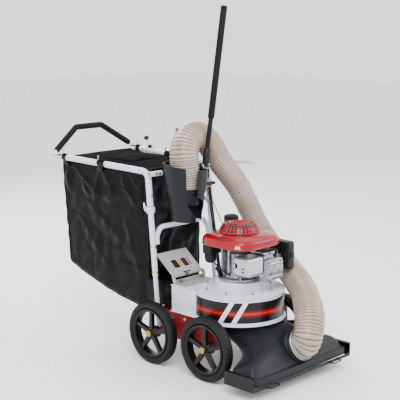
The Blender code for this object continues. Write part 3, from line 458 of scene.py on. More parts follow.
def pillow(name, low, high, power=8.0, rows=24, columns=48, swell=None):
    """A superellipsoid filling a box: each coordinate is the signed (2/power)th power of a sphere's.
    swell moves the points afterwards."""
    low, high = np.asarray(low, float), np.asarray(high, float)
    lat = np.linspace(-np.pi / 2, np.pi / 2, rows)[:, None]
    lon = np.linspace(0, TURN, columns, endpoint=False)[None, :]
    east, north, out = (signed_power(v, 2 / power) for v in (np.cos(lon), np.sin(lon), np.cos(lat)))
    unit = np.stack([out * east, out * north, signed_power(np.sin(lat), 2 / power) + 0 * lon], -1)
    points = (low + high) / 2 + unit * (high - low) / 2
    return surface(name, points if swell is None else swell(points, unit), (False, True))


def plate(name, origin, across, along, normal, outline_half, thick=0.6 * MM, uv=None, bow=None):
    """A thin sheet: origin + a*across + b*along, thickened along its normal; bow adds to the height."""
    a = np.linspace(-1, 1, 24)[:, None] * outline_half[0]
    b = np.linspace(-1, 1, 24)[None, :] * outline_half[1]
    lift = 0 * a * b if bow is None else bow(a, b)
    base = (np.asarray(origin) + a[..., None] * np.asarray(across) + b[..., None] * np.asarray(along)
            + lift[..., None] * np.asarray(normal))
    top, foot = base + thick * np.asarray(normal), base
    edge = np.concatenate([top, foot[:, ::-1]], axis=1)
    return surface(name, edge, (False, True), uv)


def smooth_noise(points, seed, wavelength, waves=14):
    """Sum of sine waves in random directions, each about the given wavelength: values near -1 to 1."""
    random = np.random.default_rng(seed)
    heading = random.normal(size=(waves, 3))
    heading /= np.linalg.norm(heading, axis=1, keepdims=True)
    pitch = TURN / (wavelength * random.uniform(0.7, 1.5, waves))
    phase = random.uniform(0, TURN, waves)
    return np.sin(points @ (heading * pitch[:, None]).T + phase).sum(-1) / np.sqrt(waves / 2)


# ---- hand hose ----------------------------------------------------------------------------------
HOSE_ROUTE = [spot(*p) for p in (
    (0.020, -0.6760, 0.2040), (0.020, -0.7160, 0.2240), (0.034, -0.724, 0.276),
    (0.094, -0.682, 0.356), (0.226, -0.530, 0.436), (0.314, -0.350, 0.513),
    (0.329, -0.218, 0.610), (0.320, -0.125, 0.711), (0.306, -0.062, 0.819),
    (0.262, -0.010, 0.953), (0.213, 0.025, 1.037), (0.166, 0.055, 1.114), (0.115, 0.073, 1.200),
    (0.062, 0.080, 1.247), (-0.003, 0.080, 1.268), (-0.080, 0.066, 1.237),
    (-0.116, 0.052, 1.183), (-0.118, 0.048, 1.115), (-0.116, 0.047, 0.972),
)]
HOSE_NODES = ["suction_hose_" + tag for tag in ("front", "side", "upper", "arch", "end")]
RIB_PITCH = 14 * MM
RIB_DEPTH = 3.4 * MM
PORT_AXIS = np.array([0.0, -0.894, 0.448]) / np.hypot(0.894, 0.448)


def ribbed_hose():
    """Radius along the route s and round the hose a:  R(s) - depth * (1 - crest), where the crest is a
    raised cosine of  s / pitch - a / turn,  so that one continuous rib winds along the hose."""
    path, run = smooth_path(HOSE_ROUTE, RIB_PITCH / 8)
    path[:12] = path[0] + np.arange(12)[:, None] * RIB_PITCH / 8 * PORT_AXIS + 0.001 * PORT_AXIS
    sides = 48
    share = run / run[-1]
    angle = np.arange(sides + 1) / sides
    turns = run[:, None] / RIB_PITCH - angle[None, :]
    crest = (0.5 + 0.5 * np.cos(TURN * turns)) ** 1.6
    body = 0.078 + 0.0065 * (np.cos(TURN * share) - 0.25)
    sag = 0.0012 * smooth_noise(path, 5, 0.22)
    radius = body[:, None] + np.minimum(sag, 0)[:, None] - RIB_DEPTH * (1 - crest)
    uv = np.stack([np.broadcast_to(angle, turns.shape), np.broadcast_to(run[:, None] / RIB_PITCH,
                                                                        turns.shape)], -1)
    uv = np.concatenate([uv, uv[::-1], uv[:1]])
    hose = tube("suction_hose_ribbed", path, radius[:, :-1], sides, body - RIB_DEPTH - 1.5 * MM, uv,
                guide=(0, 1, 0))
    fit(hose, "hose_pvc", stands_for=HOSE_NODES)


def hose_ends():
    """Rubber cuff at the nozzle, and the worm-drive band and collar at the port."""
    nozzle_end = HOSE_ROUTE[-1]
    down = (0, 0, -1)
    cuff = [(0.0800, -0.012), (0.0868, -0.012), (0.0880, -0.008), (0.0868, -0.004), (0.0868, 0.030),
            (0.0850, 0.034), (0.0830, 0.070), (0.0790, 0.078), (0.0730, 0.078), (0.0700, 0.060),
            (0.0700, 0.0010), (0.0800, 0.0008), (0.0800, -0.012)]
    fit(turned("nozzle_cuff", cuff, nozzle_end, down, 48))
    port = HOSE_ROUTE[0]
    collar = [(0.0700, -0.003), (0.0905, -0.003), (0.0915, -0.001), (0.0915, 0.005), (0.0895, 0.007),
              (0.0870, 0.007), (0.0868, 0.001), (0.0700, 0.0002), (0.0700, -0.003)]
    fit(turned("port_collar", collar, port, PORT_AXIS, 56))
    band = [(0.0868, 0.010), (0.0878, 0.010), (0.0882, 0.016), (0.0878, 0.022), (0.0868, 0.022),
            (0.0862, 0.016), (0.0868, 0.010)]
    fit(turned("hose_band", band, port, PORT_AXIS, 56), "bright_steel")


# ---- collecting bag -----------------------------------------------------------------------------
BAG_TOP = 1.048
BAG_CORNER = 0.032
# share from front to rear: y at the top, y at the foot, foot z, half width, crown
BAG_PLAN = np.array([
    (0.00, 0.246, 0.246, 0.262, 0.203, 0.000), (0.12, 0.330, 0.318, 0.256, 0.222, 0.006),
    (0.34, 0.480, 0.450, 0.288, 0.240, 0.012), (0.60, 0.650, 0.605, 0.336, 0.259, 0.012),
    (0.83, 0.810, 0.750, 0.388, 0.273, 0.008), (1.00, 0.925, 0.872, 0.441, 0.284, 0.000)])
RING_KNOTS = np.array([0.0, 0.165, 0.195, 0.305, 0.335, 0.665, 0.695, 0.805, 0.835, 1.0])
RING_TURN = np.radians([0, 0, 90, 90, 180, 180, 270, 270, 360, 360])
RING_X = np.array([1, 1, 1, -1, -1, -1, -1, 1, 1, 1.0])
RING_Z = np.array([0, 1, 1, 1, 1, -1, -1, -1, -1, 0.0])
# folds of the slack upper cloth: y and z of each end, half width, height
CREASES = ((0.845, 1.060, 0.615, 0.893, 0.010, 0.011), (0.880, 1.030, 0.860, 0.900, 0.026, 0.015),
           (0.590, 1.050, 0.500, 0.930, 0.020, 0.016), (0.500, 0.930, 0.535, 0.862, 0.018, 0.012),
           (0.610, 1.050, 0.650, 0.880, 0.009, 0.009), (0.400, 0.960, 0.530, 0.868, 0.013, 0.014),
           (0.440, 1.040, 0.395, 0.930, 0.017, 0.010), (0.385, 1.040, 0.300, 0.950, 0.007, 0.010),
           (0.350, 1.040, 0.285, 0.985, 0.006, 0.008), (0.400, 0.955, 0.330, 0.860, 0.016, 0.010),
           (0.760, 0.980, 0.700, 0.880, 0.018, 0.007), (0.700, 0.840, 0.350, 0.560, 0.030, 0.004),
           (0.820, 0.800, 0.560, 0.480, 0.028, 0.004), (0.420, 0.800, 0.300, 0.420, 0.022, 0.005))


def crease_height(y, z):
    """Each fold is a tent over its line: height * exp(-distance / half width), fading at both ends."""
    rows = np.array(CREASES)
    start, end, wide, tall = rows[:, 0:2], rows[:, 2:4], rows[:, 4], rows[:, 5]
    run = end - start
    away = np.stack([y, z], -1)[..., None, :] - start
    share = (away * run).sum(-1) / (run ** 2).sum(-1)
    near = away - np.clip(share, 0, 1)[..., None] * run
    distance = np.linalg.norm(near, axis=-1)
    fade = np.clip(1.25 - 0.75 * np.abs(share * 2 - 1), 0, 1)
    return (tall * fade * np.exp(-(distance / wide) ** 1.3)).sum(-1)


def bag_point(u, v, inset=0.0, proud=0.0, folds=True):
    """Point of the bag at u round its section (0 on the left side, 0.25 on top, 0.5 on the right) and
    v from front to rear: a rounded rectangle whose sizes run smoothly along the bag, pushed out by
    slack, drooping between its hangers, and creased by folded noise."""
    u, v = np.broadcast_arrays(np.asarray(u, float), np.asarray(v, float))
    top_y, low_y, low_z, width, crown = (np.interp(v, BAG_PLAN[:, 0], BAG_PLAN[:, k])
                                         for k in range(1, 6))
    high_z = BAG_TOP + 0.03 * (top_y - 0.25) + 0.022
    half_z = (high_z - low_z) / 2
    turn = np.interp(u % 1.0, RING_KNOTS, RING_TURN)
    across = (np.interp(u % 1.0, RING_KNOTS, RING_X) * (width - BAG_CORNER - inset)
              + BAG_CORNER * np.cos(turn))
    rise = (np.interp(u % 1.0, RING_KNOTS, RING_Z) * (half_z - BAG_CORNER - inset)
            + BAG_CORNER * np.sin(turn))
    share = (rise / half_z + 1) / 2
    on_top = np.clip((share - 0.93) / 0.07, 0, 1)
    lift = crown * on_top * (1 - (across / width) ** 2)
    points = np.stack([across, low_y + (top_y - low_y) * share + ORIGIN_Y, low_z + half_z + rise + lift],
                      -1)
    out = np.stack([np.cos(turn), 0 * turn, np.sin(turn)], -1)
    if folds:
        panel = np.sin(np.pi * np.clip(share, 0, 1)) ** 0.5
        side = np.abs(np.cos(turn))
        warp = smooth_noise(points, 11, 0.5)
        crumple = np.abs(smooth_noise(points, 23, 0.20))
        taut = -0.0045 * (0.7 - crumple).clip(0) + 0.0016 * smooth_noise(points, 31, 0.08)
        streaks = 0.0022 * np.abs(np.sin(points[..., 1] * 19 + 2.0 * warp))
        slack = 0.010 * np.sin(np.pi * v) ** 0.7 * np.clip((share - 0.45) / 0.3, 0, 1) * panel
        away = points + 0.004 * warp[..., None]
        creases = crease_height(away[..., 1] - ORIGIN_Y, away[..., 2])
        move = side * (1.5 * creases * panel + slack) + (0.3 + 0.7 * panel) * (taut + streaks)
        droop = -0.008 * on_top * (0.5 - 0.5 * np.cos(TURN * 2.0 * v)) * (across / width) ** 2
        points = points + out * move[..., None]
        points[..., 2] += droop
    return points + out * np.reshape(proud, (1,) * (points.ndim - 1) + (1,))


def sew(piece, stands_for=()):
    """Fits a piece of bag cloth, and gives its faces that look up the rougher copy with almost no sheen,
    painted shade that keeps the bag's top dark.
    """
    fit(piece, "bag_cloth", stands_for=stands_for)
    facing = np.empty(3 * len(piece.data.polygons), np.float32)
    piece.data.polygons.foreach_get("normal", facing)
    piece.data.materials.append(SHADED_TOP_CLOTH)
    piece.data.polygons.foreach_set("material_index", (facing[2::3] > 0.6).astype(np.int32))


def bag_shell():
    """Rows of the shell: the front panel from its middle outwards, the four sides, the rear panel back
    to its middle; the panel rows shrink each section towards its centre."""
    u = np.linspace(0, 1, 240, endpoint=False)
    inner, count = 14, 96
    turn = np.linspace(0, np.pi / 2, 7)[:-1]
    bend = 0.016
    grow = np.linspace(0, 1, inner, endpoint=False)
    rows_v = np.concatenate([np.zeros(inner), np.zeros(6), np.linspace(0, 1, count), np.ones(6),
                             np.ones(inner)])
    round_in = np.concatenate([np.full(inner, bend), bend * (1 - np.sin(turn)), np.zeros(count),
                               bend * (1 - np.sin(turn[::-1])), np.full(inner, bend)])
    scale = np.concatenate([grow, np.ones(count + 12), grow[::-1]])
    set_back = np.concatenate([np.zeros(inner), bend * (1 - np.cos(turn)), np.zeros(count),
                               -bend * (1 - np.cos(turn[::-1])), np.zeros(inner)])
    v = rows_v[:, None] + 0 * u[None]
    points = bag_point(u[None], v, inset=round_in[:, None] + 0 * u[None])
    flat = bag_point(u[None], v, inset=round_in[:, None] + 0 * u[None], folds=False)
    centre = flat.mean(1, keepdims=True)
    points = centre + (points - centre) * scale[:, None, None]
    front_rows = np.arange(len(rows_v)) < inner + 6
    rear_rows = np.arange(len(rows_v)) >= inner + 6 + count
    ends = (front_rows | rear_rows)[:, None]
    edge = np.clip(1 - scale, 0, 1)[:, None]
    crease = np.abs(smooth_noise(points, 41, 0.20)) * 0.010 + 0.004 * smooth_noise(points, 43, 0.08)
    points[..., 1] += set_back[:, None] + np.where(ends, np.where(front_rows[:, None], 1, -1)
                                                   * crease * np.minimum(1, edge * 3), 0)
    lengths = run_along(points[:, 60])
    around = np.linspace(0, 2.6, 241)
    uv = np.stack([np.broadcast_to(around, (len(v), 241)),
                   np.broadcast_to(lengths[:, None], (len(v), 241))], -1)
    sew(surface("bag_shell", points, (False, True), uv), ("collecting_bag",))


def bag_inlet():
    """Sleeve from the chute to the bag: a rounded rectangle tube with gathers towards the elastic."""
    low, high = spot(-0.214, 0.055, 0.301), spot(0.014, 0.262, 0.452)
    v = np.linspace(0, 1, 30)[:, None]
    angle = np.linspace(0, TURN, 160, endpoint=False)[None]
    half = np.array([(high - low)[0] / 2, (high - low)[2] / 2])
    middle = (low + high) / 2
    power = 2 / 7
    x, z = signed_power(np.cos(angle), power), signed_power(np.sin(angle), power)
    pleat = 1 - 0.030 * (1 - v) ** 0.6 * (0.5 + 0.5 * np.sin(angle * 34)) - 0.05 * np.exp(-(v * 9) ** 2)
    outside = np.stack([middle[0] + x * half[0] * pleat, low[1] + (high[1] - low[1]) * v + 0 * angle,
                        middle[2] + z * half[1] * pleat], -1)
    inside = outside.copy()
    inside[..., 0] = middle[0] + (outside[..., 0] - middle[0]) * 0.985
    inside[..., 2] = middle[2] + (outside[..., 2] - middle[2]) * 0.985
    points = np.concatenate([outside, inside[::-1]])
    uv = flat_uv(0.7, 161, 0.4, 61)
    sew(surface("bag_inlet_sleeve", points, (True, True), uv))


def along_bag(name, u, v, radius, lift=1.0 * MM):
    """A cord or seam laid along the bag, radius out from its skin."""
    line = bag_point(np.asarray(u), np.asarray(v), proud=lift)
    path, _ = smooth_path(line, 6 * MM)
    uv = np.zeros((len(path) + 2, 13, 2))
    uv[..., 1] = (np.arange(len(path) + 2) * 6 * MM)[:, None]
    uv[..., 0] = np.linspace(0, TURN * radius, 13)[None]
    fit(tube(name, path, radius, 12, uv=uv), "bag_cloth")


def bag_trim():
    """Bound edges, the zip, the stitched patch and the handle opening on top."""
    steps = np.linspace(0.01, 0.99, 60)
    for name, u in (("right_foot", 0.68), ("left_foot", 0.82), ("right_top", 0.32), ("left_top", 0.18)):
        along_bag("bag_binding_" + name, np.full(60, u), steps, 3.2 * MM, lift=0.5 * MM)
    ring = np.linspace(0, 1, 120)
    for name, v in (("front", 0.012), ("rear", 0.985)):
        along_bag("bag_binding_" + name, ring, np.full(120, v), 3.0 * MM, lift=0.2 * MM)
    side = np.linspace(0.355, 0.44, 30)
    along_bag("bag_zip_tape", side, np.full(30, 0.062), 2.6 * MM)
    for name, v in (("front", 0.052), ("rear", 0.072)):
        along_bag("bag_zip_edge_" + name, side, np.full(30, v), 1.1 * MM)
    along_bag("bag_yoke_seam_right", np.linspace(0.375, 0.395, 60), steps[::-1], 1.8 * MM)
    along_bag("bag_yoke_seam_left", np.linspace(0.125, 0.105, 60), steps[::-1], 1.8 * MM)
    flap_u, flap_v = np.meshgrid(np.linspace(0.215, 0.285, 30), np.linspace(0.34, 0.66, 30))
    top = bag_point(flap_u, flap_v, proud=2.0 * MM)
    hump = np.sin(np.pi * (flap_u - 0.215) / 0.07) * np.sin(np.pi * (flap_v - 0.34) / 0.32)
    top[..., 2] += 0.010 * hump ** 0.6
    under = bag_point(flap_u, flap_v, proud=0.6 * MM)
    uv = flat_uv(0.3, 61, 0.25, 30)
    sew(surface("bag_top_flap", np.concatenate([top, under[:, ::-1]], 1), (False, True), uv))


def rail_at(side, y):
    """Middle of a side rail at a distance back."""
    foot = np.array([RAIL_X, 0.217, 1.067])
    middle = foot + (RAIL_END - foot) * (y - foot[1]) / (RAIL_END[1] - foot[1])
    return spot(side * middle[0], middle[1], middle[2])


def bag_hangers():
    """Webbing loops round the rails with loose tails, each held by an upright pin."""
    for tag, side in (("right", -1), ("left", 1)):
        for k, y in enumerate((0.585, 0.905)):
            centre = rail_at(side, y if y < 0.9 else 0.875)
            angle = np.linspace(np.radians(-100), np.radians(240), 40)
            loop = np.stack([0.0200 * np.cos(angle), 0 * angle, 0.0200 * np.sin(angle)], -1) + centre
            tail = np.linspace(0, 1, 14)[1:, None]
            foot = loop[0]
            hang = foot + np.stack([-side * 0.010 * tail[:, 0], 0.004 * np.sin(5 * tail[:, 0]),
                                    -0.030 * tail[:, 0]], -1)
            line = np.concatenate([hang[::-1], loop])
            half = np.linspace(-0.5, 0.5, 9) * (0.060 if k == 0 else 0.034)
            slant = np.linspace(0.022, -0.022, len(line)) * (1 - k)
            top = line[:, None] + (half[None] + slant[:, None])[..., None] * np.array([0, 1, 0])
            out = top - centre
            out[..., 1] = 0
            out /= np.linalg.norm(out, axis=-1, keepdims=True)
            points = np.concatenate([top + out * 1.2 * MM, (top + out * 0.1 * MM)[:, ::-1]], 1)
            uv = np.stack(np.meshgrid(np.linspace(0, 0.06, 19), np.linspace(0, 0.18, len(line))), -1)
            sew(surface(f"bag_hanger_{tag}_{k + 1}", points, (False, True), uv))
            pin = [(0, 0.0185), (0.0035, 0.0185), (0.0035, 0.038), (0.0052, 0.0385), (0.0052, 0.0425),
                   (0.003, 0.0445), (0, 0.0445)]
            fit(turned(f"hanger_pin_{tag}_{k + 1}", pin, centre + [0, 0.021, 0], (0, 0, 1), 16),
                "bright_steel", sharp=40)


def corner_tabs():
    """Stiff flaps of doubled cloth hanging back off the rail ends: a tapering sheet that droops with the
    square of its run."""
    for tag, side in (("right", -1), ("left", 1)):
        run = np.linspace(0, 1, 20)[:, None]
        across = np.linspace(-1, 1, 13)[None]
        root = rail_at(side, 0.893) + [0, 0, 0.0195]
        wide = 0.023 - 0.006 * run
        x = root[0] + side * 0.010 * run + wide * across
        y = root[1] + 0.078 * run + 0 * across
        z = root[2] - 0.020 * run ** 2 - 0.008 * across ** 2 * run - 0.004 * np.sin(5 * run)
        top = np.stack([x, y, z], -1)
        points = np.concatenate([top + [0, 0, 2 * MM], top[:, ::-1]], 1)
        uv = flat_uv(0.1, 27, 0.08, 20)
        sew(surface("bag_corner_tab_" + tag, points, (False, True), uv))


def bar_sleeve():
    """The bag's front hem wrapped round the top bar, slack between its stitches."""
    low, high = corners("top_bar")
    middle = (low + high) / 2
    x = np.linspace(-0.168, 0.190, 90)
    path = np.stack([x, np.full(90, middle[1]), np.full(90, middle[2])], -1)
    angle = np.linspace(0, TURN, 32, endpoint=False)
    wrinkle = smooth_noise(np.stack(np.broadcast_arrays(x[:, None], 0.05 * np.cos(angle)[None],
                                                        0.05 * np.sin(angle)[None]), -1), 7, 0.035)
    radius = 0.0180 + 0.0009 * wrinkle
    uv = flat_uv(0.11, 33, 0.4, 181)
    sew(tube("bag_front_hem", path, radius, 32, 0.0155, uv))


# ---- tube frame ---------------------------------------------------------------------------------
def bent(points, bend):
    """A polyline whose inner corners are arcs of one radius, resampled every 6 mm."""
    points = [np.asarray(p, float) for p in points]
    path = [points[0]]
    for before, corner, after in zip(points, points[1:], points[2:]):
        one, two = before - corner, after - corner
        one, two = one / np.linalg.norm(one), two / np.linalg.norm(two)
        half = np.arccos(np.clip(one @ two, -1, 1)) / 2
        middle = corner + (one + two) / np.linalg.norm(one + two) * bend / np.sin(half)
        start, end = (corner + way * bend / np.tan(half) - middle for way in (one, two))
        span = np.pi - 2 * half
        t = np.linspace(0, 1, 13)[:, None]
        path.extend(middle + (np.sin((1 - t) * span) * start + np.sin(t * span) * end) / np.sin(span))
    path.append(points[-1])
    path = np.array(path)
    run = run_along(path)
    return at_lengths(path, run, np.linspace(0, run[-1], int(run[-1] / (6 * MM)) + 2))


def upright_at(side, z):
    """Middle of an upright at a height: it leans back by UPRIGHT_LEAN."""
    return spot(side * RAIL_X, 0.147 + UPRIGHT_LEAN * (z - 0.321), z)


def both_sides(half):
    """A half route on the right, and its mirror image back down the left."""
    half = np.array(half)
    return np.concatenate([half, half[::-1] * [-1, 1, 1]])


def coat(tube_piece, node):
    """A white powder-coated tube that stands for one CAD node."""
    fit(tube_piece, "white_powder_coat", stands_for=(node,), sharp=60)


def frame_tubes():
    """Uprights with a step where the inner tube slides, side rails, hoop, cross bar, handle, arm, brace."""
    lean = np.array([0, UPRIGHT_LEAN, 1.0])
    for tag, side in (("right", -1), ("left", 1)):
        foot, step, top = (upright_at(side, z) for z in (0.19, 0.48, 0.872))
        lower, whole = np.linalg.norm(step - foot), np.linalg.norm(top - foot)
        profile = [(0.0110, 0), (0.0135, 0), (0.0135, lower - 0.004), (0.0160, lower + 0.002),
                   (0.0160, whole), (0.0110, whole), (0.0110, 0)]
        fit(turned("upright_tube_" + tag, profile, foot, lean, 40), "white_powder_coat",
            stands_for=("lower_upright_" + tag,), sharp=40)
        end = spot(side * RAIL_END[0], RAIL_END[1], RAIL_END[2])
        route = bent([upright_at(side, 0.8755), upright_at(side, 1.067), end], 0.045)
        coat(tube("rail_tube_" + tag, route, 0.018, 32, 0.0155), "side_rail_" + tag)
    inner = RAIL_X - 0.0309
    low, knee, high = upright_at(-1, 0.655), upright_at(-1, 0.698), upright_at(-1, 0.748)
    low[0], knee[0], high[0] = -inner, -inner, -0.176
    coat(tube("hoop_tube", bent(both_sides([low, knee, high]), 0.045), 0.0145, 28, 0.0125), "mid_hoop")
    bar = bent([spot(-0.262, 0.1855, 1.058), spot(0.262, 0.1855, 1.058)], 0.045)
    coat(tube("cross_tube", bar, 0.015, 32, 0.013), "top_bar")
    end = RAIL_END * [-1, 1, 1]
    corner, crest = np.array([-0.326, 0.966, 1.100]), np.array([-0.101, 1.017, 1.247])
    half = [end + [0.0053, -0.060, -0.0022], end + [-0.001, 0.012, 0.001], corner, crest]
    half = [spot(*p) for p in half]
    coat(tube("handle_tube", bent(both_sides(half), 0.035), 0.0125, 28, 0.0105), "handle_bar")
    start = half[2] + 0.13 * (half[3] - half[2])
    grip = bent(both_sides([start, half[3]]), 0.035)
    size = 0.0185 - 0.003 * np.clip(1 - np.arange(len(grip)) / 1.5, 0, 1)
    size = np.minimum(size, size[::-1])
    fit(tube("handle_foam", grip, size, 32, 0.0137), "foam_sleeve", stands_for=("handle_grip",))
    arm, run = smooth_path([spot(0.2745, 0.200, 1.086), spot(0.302, 0.058, 1.092),
                            spot(0.330, -0.085, 1.098)], 2 * MM)
    size = 0.0145 * np.sqrt(np.clip(1 - np.clip((run - run[-1] + 0.0145) / 0.0145, 0, 1) ** 2, 0.02, 1))
    fit(tube("arm_tube", arm, size, 28), "white_powder_coat", stands_for=("hose_arm",))
    brace = bent([spot(0.211, 0.172, 0.930), spot(0.211, 0.084, 0.420)], 0.045)
    fit(tube("brace_bar", brace, 0.0105, 24), "black_powder_coat", stands_for=("brace_tube",), sharp=60)


def pole():
    """Pole tube, its moulded foot and the foam grip, revolved about the pole's axis."""
    foot, head = spot(-0.020, -0.018, 1.108), spot(0.128, -0.019, 1.983)
    way = head - foot
    whole = np.linalg.norm(way)
    shaft = [(0, 0.030), (0.0135, 0.030), (0.0135, whole - 0.020), (0, whole - 0.020)]
    cuff = [(0.008, -0.006), (0.014, 0.002), (0.018, 0.014), (0.0205, 0.024), (0.0205, 0.060),
            (0.0190, 0.090), (0.0165, 0.094), (0.0136, 0.094)]
    grip = [(0.0137, 0.262), (0.0160, 0.2625), (0.0183, 0.266), (0.0185, 0.270), (0.0185, whole - 0.012),
            (0.0175, whole - 0.004), (0.0140, whole), (0.0, whole)]
    for name, profile, finish, stands_for in (("pole_shaft", shaft, "black_tube", ("pole",)),
                                              ("pole_foot", cuff, "black_moulding", ()),
                                              ("pole_foam", grip, "foam_sleeve", ("pole_grip",))):
        fit(turned(name, profile, foot, way, 36), finish, "long_pole", stands_for, sharp=50)


# ---- wheels -------------------------------------------------------------------------------------
def treaded_tyre(tag):
    """Cross-section a rounded box; on its crown the radius drops 3 mm along two families of crossing
    slanted grooves,  |sin(22 a +- 95 x)|  under a quarter, which leaves diamond blocks."""
    low, high = corners("tyre_" + tag)
    centre = (low + high) / 2
    around = np.linspace(0, TURN, 352, endpoint=False)[:, None]
    turn = np.linspace(0, TURN, 44, endpoint=False)[None]
    x = 0.0278 * signed_power(np.cos(turn), 0.62)
    tall = 0.158 + 0.0199 * signed_power(np.sin(turn), 0.60)
    crown = np.clip((tall - 0.166) / 0.006, 0, 1)
    slant = np.minimum(np.abs(np.sin(22 * around + 95 * x)), np.abs(np.sin(22 * around - 95 * x)))
    groove = 1 - np.clip((slant - 0.16) / 0.22, 0, 1)
    wall = 0.0008 * np.cos(96 * around) * np.clip(1 - np.abs(tall - 0.170) / 0.004, 0, 1)
    radius = tall - 0.0032 * crown * groove + wall - 0.0006
    points = np.stack([centre[0] + x + 0 * around, centre[1] + radius * np.cos(around),
                       centre[2] + radius * np.sin(around)], -1)
    fit(surface("tread_" + tag, points, (True, True)), "tyre_rubber", "wheel_" + tag, ("tyre_" + tag,))


def wheels():
    """Treaded tyres, bead rings on the rims and washers on the hubs."""
    for tag in ("front_left", "front_right", "rear_left", "rear_right"):
        treaded_tyre(tag)
        low, high = corners("rim_" + tag)
        centre = (low + high) / 2
        outward = np.array([1.0 if "left" in tag else -1.0, 0, 0])
        washer = [(0.0105, 0.0345), (0.0165, 0.0345), (0.0165, 0.0365), (0.0105, 0.0365), (0.0105, 0.0345)]
        face = np.array([outward[0] * 0.323, centre[1], WHEEL_R])
        fit(turned("hub_washer_" + tag, washer, face, outward, 32), "yellow_zinc", "wheel_" + tag,
            sharp=40)
        bead = [(0.1215, 0.0215), (0.1340, 0.0232), (0.1372, 0.0258), (0.1360, 0.0275), (0.1325, 0.0262),
                (0.1215, 0.0232), (0.1215, 0.0215)]
        fit(turned("rim_bead_" + tag, bead, face, outward, 96), "wheel_plastic", "wheel_" + tag)


# ---- intake hood and hand nozzle ----------------------------------------------------------------
HOOD_PLAN = np.array([
    # front y, front z, rear y, rear z, half width, corner power
    (-0.7225, 0.078, -0.532, 0.070, 0.385, 14.0), (-0.7225, 0.112, -0.532, 0.106, 0.385, 14.0),
    (-0.708, 0.122, -0.530, 0.112, 0.376, 10.0), (-0.678, 0.176, -0.507, 0.117, 0.352, 6.0),
    (-0.622, 0.236, -0.445, 0.134, 0.236, 3.2), (-0.545, 0.274, -0.366, 0.154, 0.192, 2.5),
    (-0.470, 0.285, -0.280, 0.186, 0.180, 2.2), (-0.422, 0.288, -0.180, 0.236, 0.165, 2.1),
    (-0.393, 0.2926, -0.127, 0.2926, 0.133, 2.0)])


def hood_skin(inset):
    """Superellipses standing on the front and rear lines; the plan's rows are joined by a curve that
    never overshoots them (a cubic with clipped slopes), with a raised rib along the middle."""
    rows = np.arange(len(HOOD_PLAN))
    t = np.linspace(0, len(rows) - 1, 110)
    k = np.minimum(t.astype(int), len(rows) - 2)
    f = (t - k)[:, None]
    step = np.diff(HOOD_PLAN, axis=0)
    slope = np.zeros_like(HOOD_PLAN)
    same = step[1:] * step[:-1] > 0
    slope[1:-1] = np.where(same, 2 * step[1:] * step[:-1] / np.where(same, step[1:] + step[:-1], 1), 0)
    a, b, m, n = HOOD_PLAN[k], HOOD_PLAN[k + 1], slope[k], slope[k + 1]
    plan = (a * (1 + 2 * f) * (1 - f) ** 2 + b * f * f * (3 - 2 * f) + m * f * (1 - f) ** 2
            + n * f * f * (f - 1))
    front = np.stack([0 * t, plan[:, 0] + ORIGIN_Y, plan[:, 1]], -1)[:, None]
    rear = np.stack([0 * t, plan[:, 2] + ORIGIN_Y, plan[:, 3]], -1)[:, None]
    middle, reach = (front + rear) / 2, (rear - front) / 2
    deep = np.linalg.norm(reach, axis=-1, keepdims=True)
    turn = np.linspace(0, TURN, 180, endpoint=False)[None]
    power = 2 / plan[:, 5:6]
    x, d = signed_power(np.cos(turn), power), signed_power(np.sin(turn), power)
    wide = plan[:, 4:5] - inset
    points = middle + (deep - inset) * d[..., None] * reach / deep
    points = points + (wide * x)[..., None] * np.array([1.0, 0, 0])
    high = np.clip((t - 2.2) / 1.2, 0, 1) * np.clip((7.5 - t) / 2, 0, 1)
    swell = 0.006 * high[:, None] * np.exp(-((np.abs(x * wide) - 0.105) / 0.030) ** 2) * (d < 0)
    return points + swell[..., None] * np.array([0, -0.55, 0.83])


def intake_hood():
    """The hood's outer skin and its inner one, 4 mm inside, and the port's neck."""
    points = np.concatenate([hood_skin(0.0), hood_skin(0.004)[::-1]])
    hood = surface("intake_hood", points, (True, True))
    fit(hood, stands_for=("nozzle_hood", "nozzle_skirt"))
    port = HOSE_ROUTE[0]
    stub = [(0.0640, -0.075), (0.0930, -0.075), (0.0920, -0.040), (0.0890, -0.0035), (0.0640, -0.0035),
            (0.0640, -0.075)]
    fit(turned("port_neck", stub, port, PORT_AXIS, 64))


NOZZLE = spot(-0.113, 0.047, 1.106)


def nozzle_wall(angle, share, thick):
    """Cone of the hand nozzle at an angle and a share of its height, with the step under its upper
    band and its rim tilted up towards the operator's right."""
    z = 1.106 - 0.311 * share
    knots = np.array([0.795, 0.88, 0.9535, 0.957, 1.00, 1.106])
    radius = np.interp(z, knots, [0.083, 0.095, 0.1045, 0.1088, 0.114, 0.125]) - thick
    tilt = 0.018 * (0.717 * np.sin(angle) - 0.697 * np.cos(angle)) * np.clip(1 - share * 5, 0, 1)
    return np.stack([NOZZLE[0] + 0.045 * (1.106 - z) + radius * np.cos(angle),
                     NOZZLE[1] + radius * np.sin(angle), z + tilt + 0 * angle], -1)


